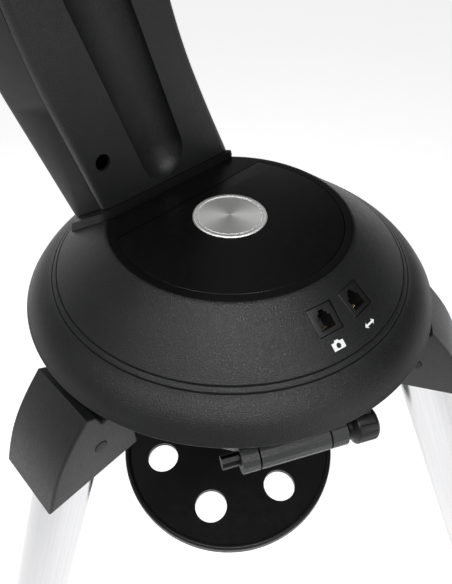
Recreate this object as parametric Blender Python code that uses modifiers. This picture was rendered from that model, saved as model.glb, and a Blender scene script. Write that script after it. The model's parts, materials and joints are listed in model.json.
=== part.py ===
"""Computerised single-arm fork mount on a tilting wedge and a three-legged tripod.

Units are metres, +Z is up and the feet stand on z = 0. The origin is the centre of the
footprint. The azimuth axis is vertical and crosses y = AZIMUTH_Y. Heights in the head and
in the hub are measured from the rim plane, the lower edge of the round base cover.
"""
import bmesh
import bpy
from math import atan2, cos, pi, radians, sin, tan
from mathutils import Matrix, Vector

MM = 0.001
GAP = 0.3 * MM                 # clearance between touching pieces
FINE, MEDIUM, COARSE = 40, 16, 10

# ---- driving dimensions -----------------------------------------------------------------
RIM_HEIGHT = 0.700             # rim plane above the floor
RIM_RADIUS = 0.140             # round base cover
TOP_RADIUS = 0.080             # its flat top
TOP_HEIGHT = 0.044             # flat top above the rim plane
CONE_FOOT = (0.1158, 0.0202)   # radius and height where the cone ends
SKIRT_HEAD = (0.1212, 0.0164)  # radius and height where the skirt begins
COVER_WALL = 2.8 * MM
TOP_WALL = 5.0 * MM

LEG_AZIMUTHS = (30, 150, 270)
LEG_LEAN = radians(25)         # from the vertical
PIVOT_REACH = 0.139            # leg pivots from the azimuth axis
PIVOT_DROP = 0.040             # leg pivots below the rim plane
UPPER_TUBE_RADIUS = 0.019
UPPER_TUBE_LENGTH = 0.400
LOWER_TUBE_RADIUS = 0.0162
TUBE_WALL = 1.6 * MM
FOOT_RADIUS = 0.020
FOOT_HEIGHT = 0.012

HUB_APOTHEM = 0.114
HUB_TOP = -0.026
HUB_BOTTOM = -0.064
WEDGE_AZIMUTH = radians(-30)   # the side the wedge tips towards
HINGE_REACH = 0.1265
HINGE_DROP = -0.030
BARREL_LENGTH = 0.042          # the wedge's hinge barrel, between the hub's two ears
EAR_LENGTH = 0.010             # each ear's eye, along the hinge

ARM_INNER_X = -0.055
ARM_SEAM_X = -0.0625
ARM_OUTER_X = -0.090
ARM_FLARE = 0.012              # how far the outer face reaches past the seam on the -Y side
ARM_WALL = 2.5 * MM
ALTITUDE_Y = -0.041
ALTITUDE_Z = 0.255
HEAD_RADIUS = 0.046
COLLAR_HEIGHT = 5.5 * MM
COLLAR_PROUD = 3 * MM
HOUSING_WIDTH = 0.052          # leg housing, across the leg
HOUSING_WALL = 3 * MM

COVER_RADIUS = 0.074           # battery cover
COVER_CHORD_X = -0.0327
JACK_AZIMUTHS = {"camera_jack": -14.3, "aux_jack": 0.7}
JACK_REACH = 0.0965
JACK_FRAME = 0.0164
POWER_JACK_AZIMUTH, POWER_SWITCH_AZIMUTH = 187, 173
POWER_JACK_RADIUS = 0.0055
SWITCH_SIZE = (0.014, 0.0095)
BATTERY_X, BATTERY_Y, BATTERY_CENTRE_X = 0.063, 0.106, 0.012
CAP_RADIUS = 0.030             # round cap on the arm's outer face

AZ_WHEEL_RADIUS, AZ_WHEEL_Z = 0.044, 0.0135
ALT_WHEEL_RADIUS, ALT_WHEEL_X = 0.026, -0.0662
WORM_RADIUS = 0.0055
WORM_CLEARANCE = 0.4 * MM
CHASSIS_LOW, CHASSIS_TOP = 0.0020, 0.0055
SHAFT_RADIUS = 0.014
FLANGE_GAP, FLANGE_THICKNESS = 0.0015, 0.008

SLOT_MOUTH = 0.0200            # half widths of the dovetail slot
SLOT_FOOT = 0.0228
SLOT_LAND = 0.0195             # half width of the raised land that the bar rests on
SLOT_DEPTH = 0.011
JAW_TRAVEL = 0.005
STUD_END = 0.030               # end of the saddle knob's stud above the altitude axis

# ---- dimensions worked out from them ----------------------------------------------------
PIVOT_HEIGHT = RIM_HEIGHT - PIVOT_DROP
LEG_LENGTH = (PIVOT_HEIGHT - FOOT_HEIGHT / 2) / cos(LEG_LEAN)
FOOT_REACH = PIVOT_REACH + LEG_LENGTH * sin(LEG_LEAN)
AZIMUTH_Y = FOOT_REACH / 4
CONE_SLOPE = atan2(TOP_HEIGHT - CONE_FOOT[1], CONE_FOOT[0] - TOP_RADIUS)
SKIRT_SLOPE = atan2(SKIRT_HEAD[1], RIM_RADIUS - SKIRT_HEAD[0])
ALT_WORM_DROP = ALT_WHEEL_RADIUS + WORM_RADIUS + WORM_CLEARANCE
AZ_WORM_X = -(AZ_WHEEL_RADIUS + WORM_RADIUS + WORM_CLEARANCE)
EAR_CENTRE = BARREL_LENGTH / 2 + 1 * MM + EAR_LENGTH / 2
EAR_END = EAR_CENTRE + EAR_LENGTH / 2

FACE_YZ = (radians(90), 0, radians(90))   # an XY outline drawn in the YZ plane, thick in X
FACE_XZ = (radians(90), 0, 0)             # an XY outline drawn in the XZ plane, thick in -Y

FINISHES = {
    "textured_plastic": ((0.020, 0.021, 0.022), 0.55, 0.0),
    "satin_plastic": ((0.012, 0.012, 0.013), 0.32, 0.0),
    "jack_plastic": ((0.010, 0.010, 0.011), 0.45, 0.0),
    "spun_aluminium": ((0.72, 0.72, 0.71), 0.28, 1.0),
    "cast_alloy": ((0.060, 0.062, 0.065), 0.50, 0.6),
    "bare_alloy": ((0.55, 0.56, 0.57), 0.38, 1.0),
    "steel": ((0.58, 0.58, 0.59), 0.22, 1.0),
    "blackened_steel": ((0.030, 0.030, 0.031), 0.38, 0.9),
    "brass": ((0.62, 0.46, 0.20), 0.32, 1.0),
    "rubber": ((0.018, 0.018, 0.018), 0.85, 0.0),
    "circuit_green": ((0.02, 0.12, 0.05), 0.45, 0.0),
    "battery_sleeve": ((0.05, 0.07, 0.10), 0.35, 0.0),
}


# ---- modelling helpers ------------------------------------------------------------------
def clear_scene():
    for obj in list(bpy.data.objects):
        bpy.data.objects.remove(obj, do_unlink=True)


def new_collection(name):
    group = bpy.data.collections.new(name)
    bpy.context.scene.collection.children.link(group)
    return group


def new_material(name, colour, roughness, metallic):
    material = bpy.data.materials.new(name)
    material.use_nodes = True
    shader = material.node_tree.nodes["Principled BSDF"]
    shader.inputs["Base Color"].default_value = (*colour, 1.0)
    shader.inputs["Roughness"].default_value = roughness
    shader.inputs["Metallic"].default_value = metallic
    return material


def pivot(name, parent=None, location=(0, 0, 0), rotation=(0, 0, 0)):
    empty = bpy.data.objects.new(name, None)
    empty.empty_display_size = 0.02
    bpy.context.scene.collection.objects.link(empty)
    empty.parent = parent
    empty.location = location
    empty.rotation_euler = rotation
    return empty


def place(name, mesh, slot, parent, location, rotation):
    """Make an object of a mesh: a part with a finish, or a cutter when slot is None."""
    obj = bpy.data.objects.new(name, mesh)
    if slot is None:
        CUTTERS.objects.link(obj)
        obj.hide_render = True
        obj.display_type = "WIRE"
    else:
        PARTS.objects.link(obj)
        mesh.materials.append(MATERIALS[slot])
    obj.parent = parent
    obj.location = location
    obj.rotation_euler = rotation
    return obj


def from_bmesh(name, bm):
    mesh = bpy.data.meshes.new(name)
    bmesh.ops.recalc_face_normals(bm, faces=bm.faces)
    bm.to_mesh(mesh)
    bm.free()
    return mesh


def round_edges(bm, width, segments, picked=lambda edge: True):
    edges = [edge for edge in bm.edges if picked(edge)]
    bmesh.ops.bevel(bm, geom=edges, offset=width, segments=segments, affect="EDGES",
                    profile=0.5, clamp_overlap=True)


def box(name, slot, parent, size, location=(0, 0, 0), rotation=(0, 0, 0), edge=0.0):
    bm = bmesh.new()
    bmesh.ops.create_cube(bm, size=1.0)
    bmesh.ops.scale(bm, vec=size, verts=bm.verts)
    if edge:
        round_edges(bm, edge, 2)
    return place(name, from_bmesh(name, bm), slot, parent, location, rotation)


def cylinder(name, slot, parent, radius, length, location=(0, 0, 0), rotation=(0, 0, 0),
             segments=MEDIUM, top_radius=None, edge=0.0):
    bm = bmesh.new()
    bmesh.ops.create_cone(bm, cap_ends=True, segments=segments, radius1=radius,
                          radius2=radius if top_radius is None else top_radius, depth=length)
    if edge:
        round_edges(bm, edge, 2, lambda e: abs(e.verts[0].co.z - e.verts[1].co.z) < 1e-6)
    return place(name, from_bmesh(name, bm), slot, parent, location, rotation)


def turned(name, slot, parent, profile, location=(0, 0, 0), rotation=(0, 0, 0),
           steps=MEDIUM, ring=False):
    """Turn a (radius, height) profile about Z. It runs down its outer side; a ring closes."""
    mesh = bpy.data.meshes.new(name)
    count = len(profile)
    edges = [(i, i + 1) for i in range(count - 1)]
    if ring:
        edges.append((count - 1, 0))
    mesh.from_pydata([(r, 0, z) for r, z in profile], edges, [])
    obj = place(name, mesh, slot, parent, location, rotation)
    screw = obj.modifiers.new("turn", "SCREW")
    screw.angle = 2 * pi
    screw.steps = steps
    screw.render_steps = steps
    screw.use_merge_vertices = True
    screw.merge_threshold = 1e-5
    return obj


def ring_profile(inner, outer, low, high):
    return [(inner, high), (outer, high), (outer, low), (inner, low)]


def prism(name, slot, parent, outline, thickness, location=(0, 0, 0), rotation=(0, 0, 0),
          edge=0.0, edge_side=0):
    """A flat outline with a thickness centred on its plane; edge_side rounds one face."""
    curve = bpy.data.curves.new(name, "CURVE")
    curve.dimensions = "2D"
    curve.fill_mode = "BOTH"
    curve.extrude = thickness / 2
    spline = curve.splines.new("POLY")
    spline.points.add(len(outline) - 1)
    for point, (x, y) in zip(spline.points, outline):
        point.co = (x, y, 0, 1)
    spline.use_cyclic_u = True
    guide = bpy.data.objects.new(name + "_outline", curve)
    bpy.context.scene.collection.objects.link(guide)
    graph = bpy.context.evaluated_depsgraph_get()
    flat = bpy.data.meshes.new_from_object(guide.evaluated_get(graph))
    bpy.data.objects.remove(guide, do_unlink=True)
    bm = bmesh.new()
    bm.from_mesh(flat)
    bmesh.ops.remove_doubles(bm, verts=bm.verts, dist=1e-6)
    bmesh.ops.dissolve_limit(bm, angle_limit=radians(0.5), verts=bm.verts, edges=bm.edges)
    if edge:
        height = edge_side * thickness / 2
        round_edges(bm, edge, 3, lambda e: all(abs(v.co.z - height) < 1e-6 for v in e.verts))
    return place(name, from_bmesh(name, bm), slot, parent, location, rotation)


def lofted(name, slot, parent, near, far, x_near, x_far, edge=0.0):
    """Join two (y, z) outlines of equal count across a span of x; edge rounds the far rim."""
    bm = bmesh.new()
    start = [bm.verts.new((x_near, y, z)) for y, z in near]
    end = [bm.verts.new((x_far, y, z)) for y, z in far]
    bm.faces.new(start)
    bm.faces.new(reversed(end))
    for i in range(len(start)):
        bm.faces.new((start[i - 1], end[i - 1], end[i], start[i]))
    if edge:
        round_edges(bm, edge, 3, lambda e: all(abs(v.co.x - x_far) < 1e-6 for v in e.verts))
    return place(name, from_bmesh(name, bm), slot, parent, (0, 0, 0), (0, 0, 0))


def combine(target, *others, operation="DIFFERENCE"):
    for other in others:
        step = target.modifiers.new(other.name, "BOOLEAN")
        step.operation = operation
        step.solver = "EXACT"
        step.object = other


def arc(centre, radius, start, end, count):
    """Points along an arc, angles in degrees, both ends included."""
    angles = [radians(start + (end - start) * i / count) for i in range(count + 1)]
    return [(centre[0] + radius * cos(a), centre[1] + radius * sin(a)) for a in angles]


def inset(outline, distance):
    """Move every side of a counter-clockwise outline inwards by a distance."""
    moved = []
    count = len(outline)
    for i, (x, y) in enumerate(outline):
        before = Vector(outline[i - 1])
        after = Vector(outline[(i + 1) % count])
        here = Vector((x, y))
        side_in = (here - before).normalized()
        side_out = (after - here).normalized()
        normal_in = Vector((-side_in.y, side_in.x))
        normal_out = Vector((-side_out.y, side_out.x))
        middle = (normal_in + normal_out).normalized()
        moved.append(tuple(here + middle * (distance / max(0.4, middle.dot(normal_in)))))
    return moved


def bake_parts():
    """Apply the modifiers, so that every part is one plain mesh with smooth round sides."""
    graph = bpy.context.evaluated_depsgraph_get()
    baked = {obj: bpy.data.meshes.new_from_object(obj.evaluated_get(graph))
             for obj in PARTS.objects}
    for obj, mesh in baked.items():
        obj.modifiers.clear()
        obj.data = mesh
        mesh.shade_smooth()
        mesh.set_sharp_from_angle(angle=radians(32))


# ---- base cover -------------------------------------------------------------------------
def cover_surface(offset=0.0):
    """Outer profile of the base cover from its axis to its rim, moved outwards by offset."""
    shoulder = (TOP_RADIUS + 2.5 * MM, TOP_HEIGHT - 1.1 * MM)
    points = [(TOP_RADIUS - 1.5 * MM, TOP_HEIGHT), (TOP_RADIUS + 0.6 * MM, TOP_HEIGHT - 0.25 * MM),
              shoulder, CONE_FOOT]
    skirt = []
    for i in range(5):
        t = i / 4
        bulge = 1.8 * MM * sin(pi * t)
        r = SKIRT_HEAD[0] + (RIM_RADIUS - SKIRT_HEAD[0]) * t + bulge * sin(SKIRT_SLOPE)
        z = SKIRT_HEAD[1] * (1 - t) + bulge * cos(SKIRT_SLOPE)
        skirt.append((r, z))
    points += skirt
    if not offset:
        return points
    slopes = [0.0, radians(15), CONE_SLOPE] + [CONE_SLOPE] + [SKIRT_SLOPE] * 5
    return [(r + offset * sin(a), z + offset * cos(a)) for (r, z), a in zip(points, slopes)]


def make_base_cover(axis):
    surface = cover_surface()
    cone_end = surface.index(CONE_FOOT)
    groove = 0.9 * MM
    along = Vector((cos(CONE_SLOPE), -sin(CONE_SLOPE)))
    into = Vector((-sin(CONE_SLOPE), -cos(CONE_SLOPE)))
    start = Vector(CONE_FOOT)
    bead = [start + along * 0.5 * MM + into * groove, start + along * 1.0 * MM,
            start + along * 4.9 * MM, start + along * 5.5 * MM + into * 1.1 * groove]
    outside = [(0, TOP_HEIGHT)] + surface[:cone_end + 1] + [tuple(p) for p in bead]
    outside += surface[cone_end + 1:]
    inside = [(RIM_RADIUS - COVER_WALL, 0), (SKIRT_HEAD[0] - 3.2 * MM, SKIRT_HEAD[1] - 3.2 * MM),
              (TOP_RADIUS - 1 * MM, TOP_HEIGHT - TOP_WALL), (0, TOP_HEIGHT - TOP_WALL)]
    cover = turned("dome_cover", "textured_plastic", axis, outside + inside, steps=FINE)

    ledge = cover_cutter(axis, "cover_ledge", COVER_RADIUS + GAP, COVER_CHORD_X - GAP, 2.2 * MM + GAP)
    well = box("battery_well", None, axis, (BATTERY_X, BATTERY_Y, 0.03), (BATTERY_CENTRE_X, 0, TOP_HEIGHT))
    slot = box("arm_slot", None, axis, (0.0275, 0.100, 0.05), (-0.07275, 0, TOP_HEIGHT))
    combine(cover, ledge, well, slot)
    for name, azimuth in JACK_AZIMUTHS.items():
        seat = jack_seat(axis, name, azimuth)
        window = box(name + "_window", None, seat, (JACK_FRAME + 2 * GAP, JACK_FRAME + 2 * GAP, 0.030))
        combine(cover, window)
    for name, azimuth, size in (("power_switch", POWER_SWITCH_AZIMUTH, SWITCH_SIZE),
                                ("power_jack", POWER_JACK_AZIMUTH, None)):
        seat = skirt_seat(axis, name, azimuth)
        if size:
            hole = box(name + "_window", None, seat, (size[0] + 4 * GAP, size[1] + 4 * GAP, 0.03))
        else:
            hole = cylinder(name + "_window", None, seat, POWER_JACK_RADIUS + GAP, 0.03, segments=MEDIUM)
        combine(cover, hole)


def cover_cutter(axis, name, radius, chord_x, depth):
    disc = cylinder(name, None, axis, radius, 2 * depth, (0, 0, TOP_HEIGHT), segments=FINE)
    side = box(name + "_chord", None, axis, (0.08, 0.2, 0.02), (chord_x - 0.04, 0, TOP_HEIGHT))
    combine(disc, side)
    return disc


def jack_seat(axis, name, azimuth):
    """Frame on the cone: +Z outwards, +Y up the slope."""
    height = CONE_FOOT[1] + (CONE_FOOT[0] - JACK_REACH) * tan(CONE_SLOPE)
    turn = Matrix.Rotation(radians(azimuth + 90), 4, "Z") @ Matrix.Rotation(CONE_SLOPE, 4, "X")
    where = (JACK_REACH * cos(radians(azimuth)), JACK_REACH * sin(radians(azimuth)), height)
    return pivot(name + "_seat", axis, where, turn.to_euler())


def skirt_seat(axis, name, azimuth):
    reach = (RIM_RADIUS + SKIRT_HEAD[0]) / 2 + 1.8 * MM * sin(SKIRT_SLOPE)
    height = SKIRT_HEAD[1] / 2 + 1.8 * MM * cos(SKIRT_SLOPE)
    turn = Matrix.Rotation(radians(azimuth + 90), 4, "Z") @ Matrix.Rotation(SKIRT_SLOPE, 4, "X")
    where = (reach * cos(radians(azimuth)), reach * sin(radians(azimuth)), height)
    return pivot(name + "_seat", axis, where, turn.to_euler())


def make_jacks(axis):
    for name, azimuth in JACK_AZIMUTHS.items():
        seat = jack_seat(axis, name + "_body", azimuth)
        depth = 0.0135
        body = box(name, "jack_plastic", seat, (JACK_FRAME, JACK_FRAME, depth),
                   (0, 0, -1.0 * MM - depth / 2))
        cavity = box(name + "_cavity", None, seat, (9.7 * MM, 7.4 * MM, 0.024), (0, -1.9 * MM, 0))
        step_one = box(name + "_latch", None, seat, (6.4 * MM, 2.2 * MM, 0.022), (0, 2.8 * MM, 0))
        step_two = box(name + "_latch_tip", None, seat, (3.6 * MM, 2.2 * MM, 0.020), (0, 4.6 * MM, 0))
        combine(body, cavity, step_one, step_two)

    seat = skirt_seat(axis, "power_jack_body", POWER_JACK_AZIMUTH)
    barrel = cylinder("power_jack", "jack_plastic", seat, POWER_JACK_RADIUS, 0.013,
                      (0, 0, -0.0065 + 0.5 * MM), segments=MEDIUM)
    bore = cylinder("power_jack_bore", None, seat, 2.9 * MM, 0.018, (0, 0, 0), segments=16)
    combine(barrel, bore)
    seat = skirt_seat(axis, "power_switch_body", POWER_SWITCH_AZIMUTH)
    box("power_switch", "satin_plastic", seat, (SWITCH_SIZE[0], SWITCH_SIZE[1], 0.007),
        (0, 0, -0.0015), edge=0.8 * MM)


def make_battery_bay(axis):
    floor = 0.0215
    rim_low = TOP_HEIGHT - TOP_WALL - GAP - 2 * MM
    outer = box("battery_tray", "satin_plastic", axis,
                (BATTERY_X, BATTERY_Y, rim_low + 2 * MM - floor),
                (BATTERY_CENTRE_X, 0, (rim_low + 2 * MM + floor) / 2))
    flange = box("tray_flange", None, axis, (BATTERY_X + 0.010, BATTERY_Y + 0.010, 2 * MM),
                 (BATTERY_CENTRE_X, 0, rim_low + 1 * MM))
    inside = box("tray_inside", None, axis, (BATTERY_X - 3 * MM, BATTERY_Y - 3 * MM, 0.04),
                 (BATTERY_CENTRE_X, 0, floor + 1.6 * MM + 0.02))
    combine(outer, flange, operation="UNION")
    combine(outer, inside)

    cell_radius, cell_length, pitch = 7.1 * MM, 0.0495, 0.0146
    base_low = floor + 1.6 * MM + GAP
    centre_z = base_low + 1.2 * MM + cell_radius
    holder = box("battery_pack", "battery_sleeve", axis, (4 * pitch, 2 * cell_length + 2 * MM, 2.4 * MM),
                 (BATTERY_CENTRE_X, 0, base_low + 1.2 * MM))
    for row in (-1, 1):
        for column in range(4):
            x = BATTERY_CENTRE_X + (column - 1.5) * pitch
            cell = cylinder("cell_shape", None, axis, cell_radius, cell_length,
                            (x, row * (cell_length / 2 + 0.5 * MM), centre_z), FACE_XZ, segments=COARSE)
            combine(holder, cell, operation="UNION")
    bridge = box("cell_bridge", None, axis, (4 * pitch - 4 * MM, 4 * MM, 8 * MM),
                 (BATTERY_CENTRE_X, 0, base_low + 5 * MM))
    combine(holder, bridge, operation="UNION")


def make_battery_cover(axis):
    thickness = 2.2 * MM
    lid = cylinder("battery_cover", "satin_plastic", axis, COVER_RADIUS, thickness,
                   (0, 0, TOP_HEIGHT - thickness / 2), segments=FINE)
    side = box("lid_chord", None, axis, (0.08, 0.2, 0.02), (COVER_CHORD_X - 0.04, 0, TOP_HEIGHT))
    seat = cylinder("badge_seat", None, axis, 0.0249, 2 * MM, (0, 0, TOP_HEIGHT), segments=32)
    combine(lid, side, seat)
    low = TOP_HEIGHT - 1 * MM + GAP
    high = TOP_HEIGHT + 0.7 * MM
    turned("badge_disc", "spun_aluminium", axis,
           [(0, high - 0.5 * MM), (0.0212, high - 0.5 * MM), (0.0216, high - 0.9 * MM),
            (0.0221, high - 0.9 * MM), (0.0227, high), (0.0242, high),
            (0.0246, high - 0.5 * MM), (0.0246, low), (0, low)], steps=24)


# ---- arm --------------------------------------------------------------------------------
def arm_outline(flare=0.0):
    """Side view of the arm as (y, z), leaning as it rises; flare widens it on the -Y side."""
    centre = (ALTITUDE_Y - flare / 2, ALTITUDE_Z)
    foot = [(-0.0503 - flare, 0.020), (0.0715, 0.020), (0.0575, 0.048)]
    right = [(0.036, 0.092), (0.018, 0.133), (0.0065, 0.172), (0.0025, 0.210)]
    head = arc(centre, HEAD_RADIUS + flare / 2, -14, 194, 20)
    left = [(-0.0868 - flare, 0.210), (-0.0845 - flare, 0.176), (-0.0785 - flare, 0.133)]
    return foot + right + head + left


def flared_hollow(x):
    """The outer shell's inside outline at a depth x."""
    share = (ARM_SEAM_X - x) / (ARM_SEAM_X - ARM_OUTER_X)
    return inset(arm_outline(ARM_FLARE * share), ARM_WALL)


def face_yz(name, slot, parent, outline, x_from, x_to, **options):
    return prism(name, slot, parent, outline, abs(x_to - x_from), ((x_from + x_to) / 2, 0, 0),
                 FACE_YZ, **options)


def cover_plug(axis, name, offset):
    """A solid of the base cover's outer form, swollen by offset, for cutting what sits on it."""
    points = cover_surface(offset)
    solid = [(0, TOP_HEIGHT + offset)] + points + [(RIM_RADIUS + offset, -0.03), (0, -0.03)]
    return turned(name, None, axis, solid, steps=FINE)


def cradle_capsule(axis, name, grow, length_grow=0.0):
    """The long scoop that holds the hand control: a flattened capsule lying in the inner face."""
    low = Vector((-0.007, 0.0705))
    high = Vector((-0.040, 0.172))
    run = (high - low).length + length_grow
    radius = 0.0175 + grow
    depth_scale = (0.0125 + grow) / radius
    profile = [(radius * cos(radians(a)), run / 2 + radius * sin(radians(a)))
               for a in range(90, -1, -18)]
    profile[0] = (0, run / 2 + radius)
    profile += [(r, -z) for r, z in reversed(profile)]
    lean = atan2(low.x - high.x, high.y - low.y)
    middle = (low + high) / 2
    scoop = turned(name, None, axis, profile, (ARM_INNER_X, middle.x, middle.y), (lean, 0, 0), steps=20)
    scoop.scale = (depth_scale, 1, 1)
    return scoop


def make_arm(axis):
    outline = arm_outline()
    hollow = inset(outline, ARM_WALL)
    raised = cover_plug(axis, "arm_seat_form", GAP + COLLAR_HEIGHT + GAP)

    inner = face_yz("arm_inner_shell", "textured_plastic", axis, outline,
                    ARM_SEAM_X + GAP, ARM_INNER_X, edge=4.5 * MM, edge_side=1)
    inner_hollow = face_yz("inner_shell_hollow", None, axis, hollow,
                           ARM_SEAM_X - 0.01, ARM_INNER_X - ARM_WALL)
    pocket = cradle_capsule(axis, "cradle_pocket", 2.2 * MM)
    scoop = cradle_capsule(axis, "cradle_scoop", 0)
    trim = box("pocket_trim", None, axis, (0.04, 0.3, 0.5), (ARM_INNER_X - 1 * MM + 0.02, 0, 0.2))
    combine(pocket, trim)
    combine(inner, inner_hollow)
    combine(inner, pocket, operation="UNION")
    port = cylinder("cord_port", None, axis, 5.2 * MM, 0.02, (ARM_INNER_X, -0.0525, 0.0814),
                    (0, radians(90), 0), segments=MEDIUM)
    shaft_hole = cylinder("shaft_hole", None, axis, 0.0135, 0.03, (ARM_INNER_X, ALTITUDE_Y, ALTITUDE_Z),
                          (0, radians(90), 0))
    combine(inner, scoop, port, shaft_hole, raised)

    outer = lofted("arm_outer_shell", "satin_plastic", axis, outline, arm_outline(ARM_FLARE),
                   ARM_SEAM_X, ARM_OUTER_X, edge=6 * MM)
    outer_hollow = lofted("outer_shell_hollow", None, axis, flared_hollow(ARM_SEAM_X + 0.01),
                          flared_hollow(ARM_OUTER_X + ARM_WALL), ARM_SEAM_X + 0.01, ARM_OUTER_X + ARM_WALL)
    cap_hole = cylinder("cap_hole", None, axis, CAP_RADIUS - 4 * MM, 0.02,
                        (ARM_OUTER_X, ALTITUDE_Y, ALTITUDE_Z), (0, radians(90), 0))
    combine(outer, outer_hollow, cap_hole, raised)
    cap_high = 2.2 * MM
    turned("altitude_cap", "satin_plastic", axis,
           [(0, cap_high), (CAP_RADIUS - 3 * MM, cap_high), (CAP_RADIUS, cap_high - 1.5 * MM),
            (CAP_RADIUS, 0), (CAP_RADIUS - 4.5 * MM, 0), (CAP_RADIUS - 4.5 * MM, -4 * MM), (0, -4 * MM)],
           (ARM_OUTER_X - GAP, ALTITUDE_Y, ALTITUDE_Z), (0, radians(-90), 0))


def make_collar(axis):
    inner_x, outer_x = ARM_INNER_X + COLLAR_PROUD, ARM_OUTER_X - COLLAR_PROUD
    plan = [(outer_x, -0.0650), (outer_x + 6 * MM, -0.0705), (inner_x - 4 * MM, -0.0610),
            (inner_x, -0.0570), (inner_x, 0.0575), (inner_x - 4 * MM, 0.0615),
            (outer_x + 6 * MM, 0.0690), (outer_x, 0.0640)]
    collar = prism("arm_foot_collar", "satin_plastic", axis, plan, 0.06, (0, 0, 0.035))
    beneath = cover_plug(axis, "collar_seat_form", GAP)
    above = cover_plug(axis, "collar_top_form", GAP + COLLAR_HEIGHT)
    middle = box("collar_slot", None, axis, (0.0285, 0.101, 0.09), (-0.07275, 0, TOP_HEIGHT))
    combine(collar, above, operation="INTERSECT")
    combine(collar, beneath, middle)


def make_arm_frame(axis):
    """The cast spar inside the arm: chassis flange, upright, bearing ring."""
    low_x, high_x = -0.0840, -0.0710
    low_z = CHASSIS_TOP + GAP
    foot = [(-0.045, low_z), (0.045, low_z), (0.045, 0.052)]
    right = [(0.020, 0.115), (0.000, 0.165), (-0.006, 0.215)]
    head = arc((ALTITUDE_Y, ALTITUDE_Z), 0.032, 0, 180, 14)
    left = [(-0.073, 0.215), (-0.070, 0.165), (-0.064, 0.130), (-0.045, 0.052)]
    spar = face_yz("arm_frame", "cast_alloy", axis, foot + right + head + left, low_x, high_x)
    bore = cylinder("bearing_bore", None, axis, 0.0163, 0.05, (low_x, ALTITUDE_Y, ALTITUDE_Z),
                    (0, radians(90), 0))
    window = [(-0.036, 0.066), (0.014, 0.066), (-0.014, 0.150), (-0.052, 0.150)]
    relief = face_yz("frame_window", None, axis, window, low_x - 0.01, high_x + 0.01)
    pocket = box("altitude_motor_pocket", None, axis, (0.02, 0.056, 0.022),
                 (high_x + 0.0045, ALTITUDE_Y + 0.014, ALTITUDE_Z - ALT_WORM_DROP))
    combine(spar, bore, relief, pocket)
    turned("altitude_bearing", "steel", axis, ring_profile(0.0103, 0.0160, -0.0065, 0.0065),
           ((low_x + high_x) / 2, ALTITUDE_Y, ALTITUDE_Z), (0, radians(90), 0), steps=24, ring=True)


# ---- drives -----------------------------------------------------------------------------
def gear_outline(radius, teeth, depth):
    points = []
    for tooth in range(teeth):
        start = 2 * pi * tooth / teeth
        for share, reach in ((0.0, radius - depth), (0.25, radius), (0.5, radius), (0.75, radius - depth)):
            angle = start + share * 2 * pi / teeth
            points.append((reach * cos(angle), reach * sin(angle)))
    return points


def worm_profile(radius, length, threads, core):
    """Ridges along a worm between two plain journals."""
    half = length / 2
    pitch = (length - 6 * MM) / threads
    points = [(0, half), (core, half), (core, half - 3 * MM)]
    for thread in range(threads):
        top = half - 3 * MM - thread * pitch
        points += [(radius, top - 0.35 * pitch), (radius, top - 0.6 * pitch), (core, top - 0.95 * pitch)]
    return points + [(core, -half), (0, -half)]


def make_azimuth_drive(wedge, axis):
    shaft = turned("azimuth_shaft", "steel", wedge,
                   [(0, 0.0215), (0.0118, 0.0215), (0.0118, 0.0172), (SHAFT_RADIUS, 0.0172),
                    (SHAFT_RADIUS, -0.0040), (0.026, -0.0040), (0.026, -0.0077), (0, -0.0077)])
    drill = cylinder("shaft_drill", None, wedge, 4 * MM, 0.06, (0, 0, 0.01), segments=COARSE)
    combine(shaft, drill)
    turned("azimuth_bearing", "steel", axis,
           [(SHAFT_RADIUS + GAP, 0.0085), (0.022, 0.0085), (0.022, CHASSIS_LOW - GAP),
            (0.030, CHASSIS_LOW - GAP), (0.030, -0.0037), (SHAFT_RADIUS + GAP, -0.0037)], ring=True)
    wheel = prism("azimuth_worm_wheel", "brass", wedge, gear_outline(AZ_WHEEL_RADIUS, 24, 1.8 * MM),
                  0.0070, (0, 0, AZ_WHEEL_Z))
    bore = cylinder("az_wheel_bore", None, wedge, SHAFT_RADIUS + GAP, 0.03, (0, 0, AZ_WHEEL_Z))
    combine(wheel, bore)
    nut = cylinder("azimuth_nut", "steel", wedge, 0.018, 0.0035, (0, 0, 0.0192), segments=6)
    thread = cylinder("nut_thread", None, wedge, 0.0121, 0.02, (0, 0, 0.019), segments=MEDIUM)
    combine(nut, thread)

    spin = pivot("azimuth_worm_axis", axis, (AZ_WORM_X, 0, AZ_WHEEL_Z), (radians(90), 0, 0))
    turned("azimuth_worm", "steel", spin, worm_profile(WORM_RADIUS, 0.030, 4, 3.6 * MM), steps=COARSE)
    cylinder("azimuth_motor", "bare_alloy", axis, 0.0105, 0.040, (AZ_WORM_X, 0.0420, AZ_WHEEL_Z),
             FACE_XZ, segments=MEDIUM)


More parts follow.
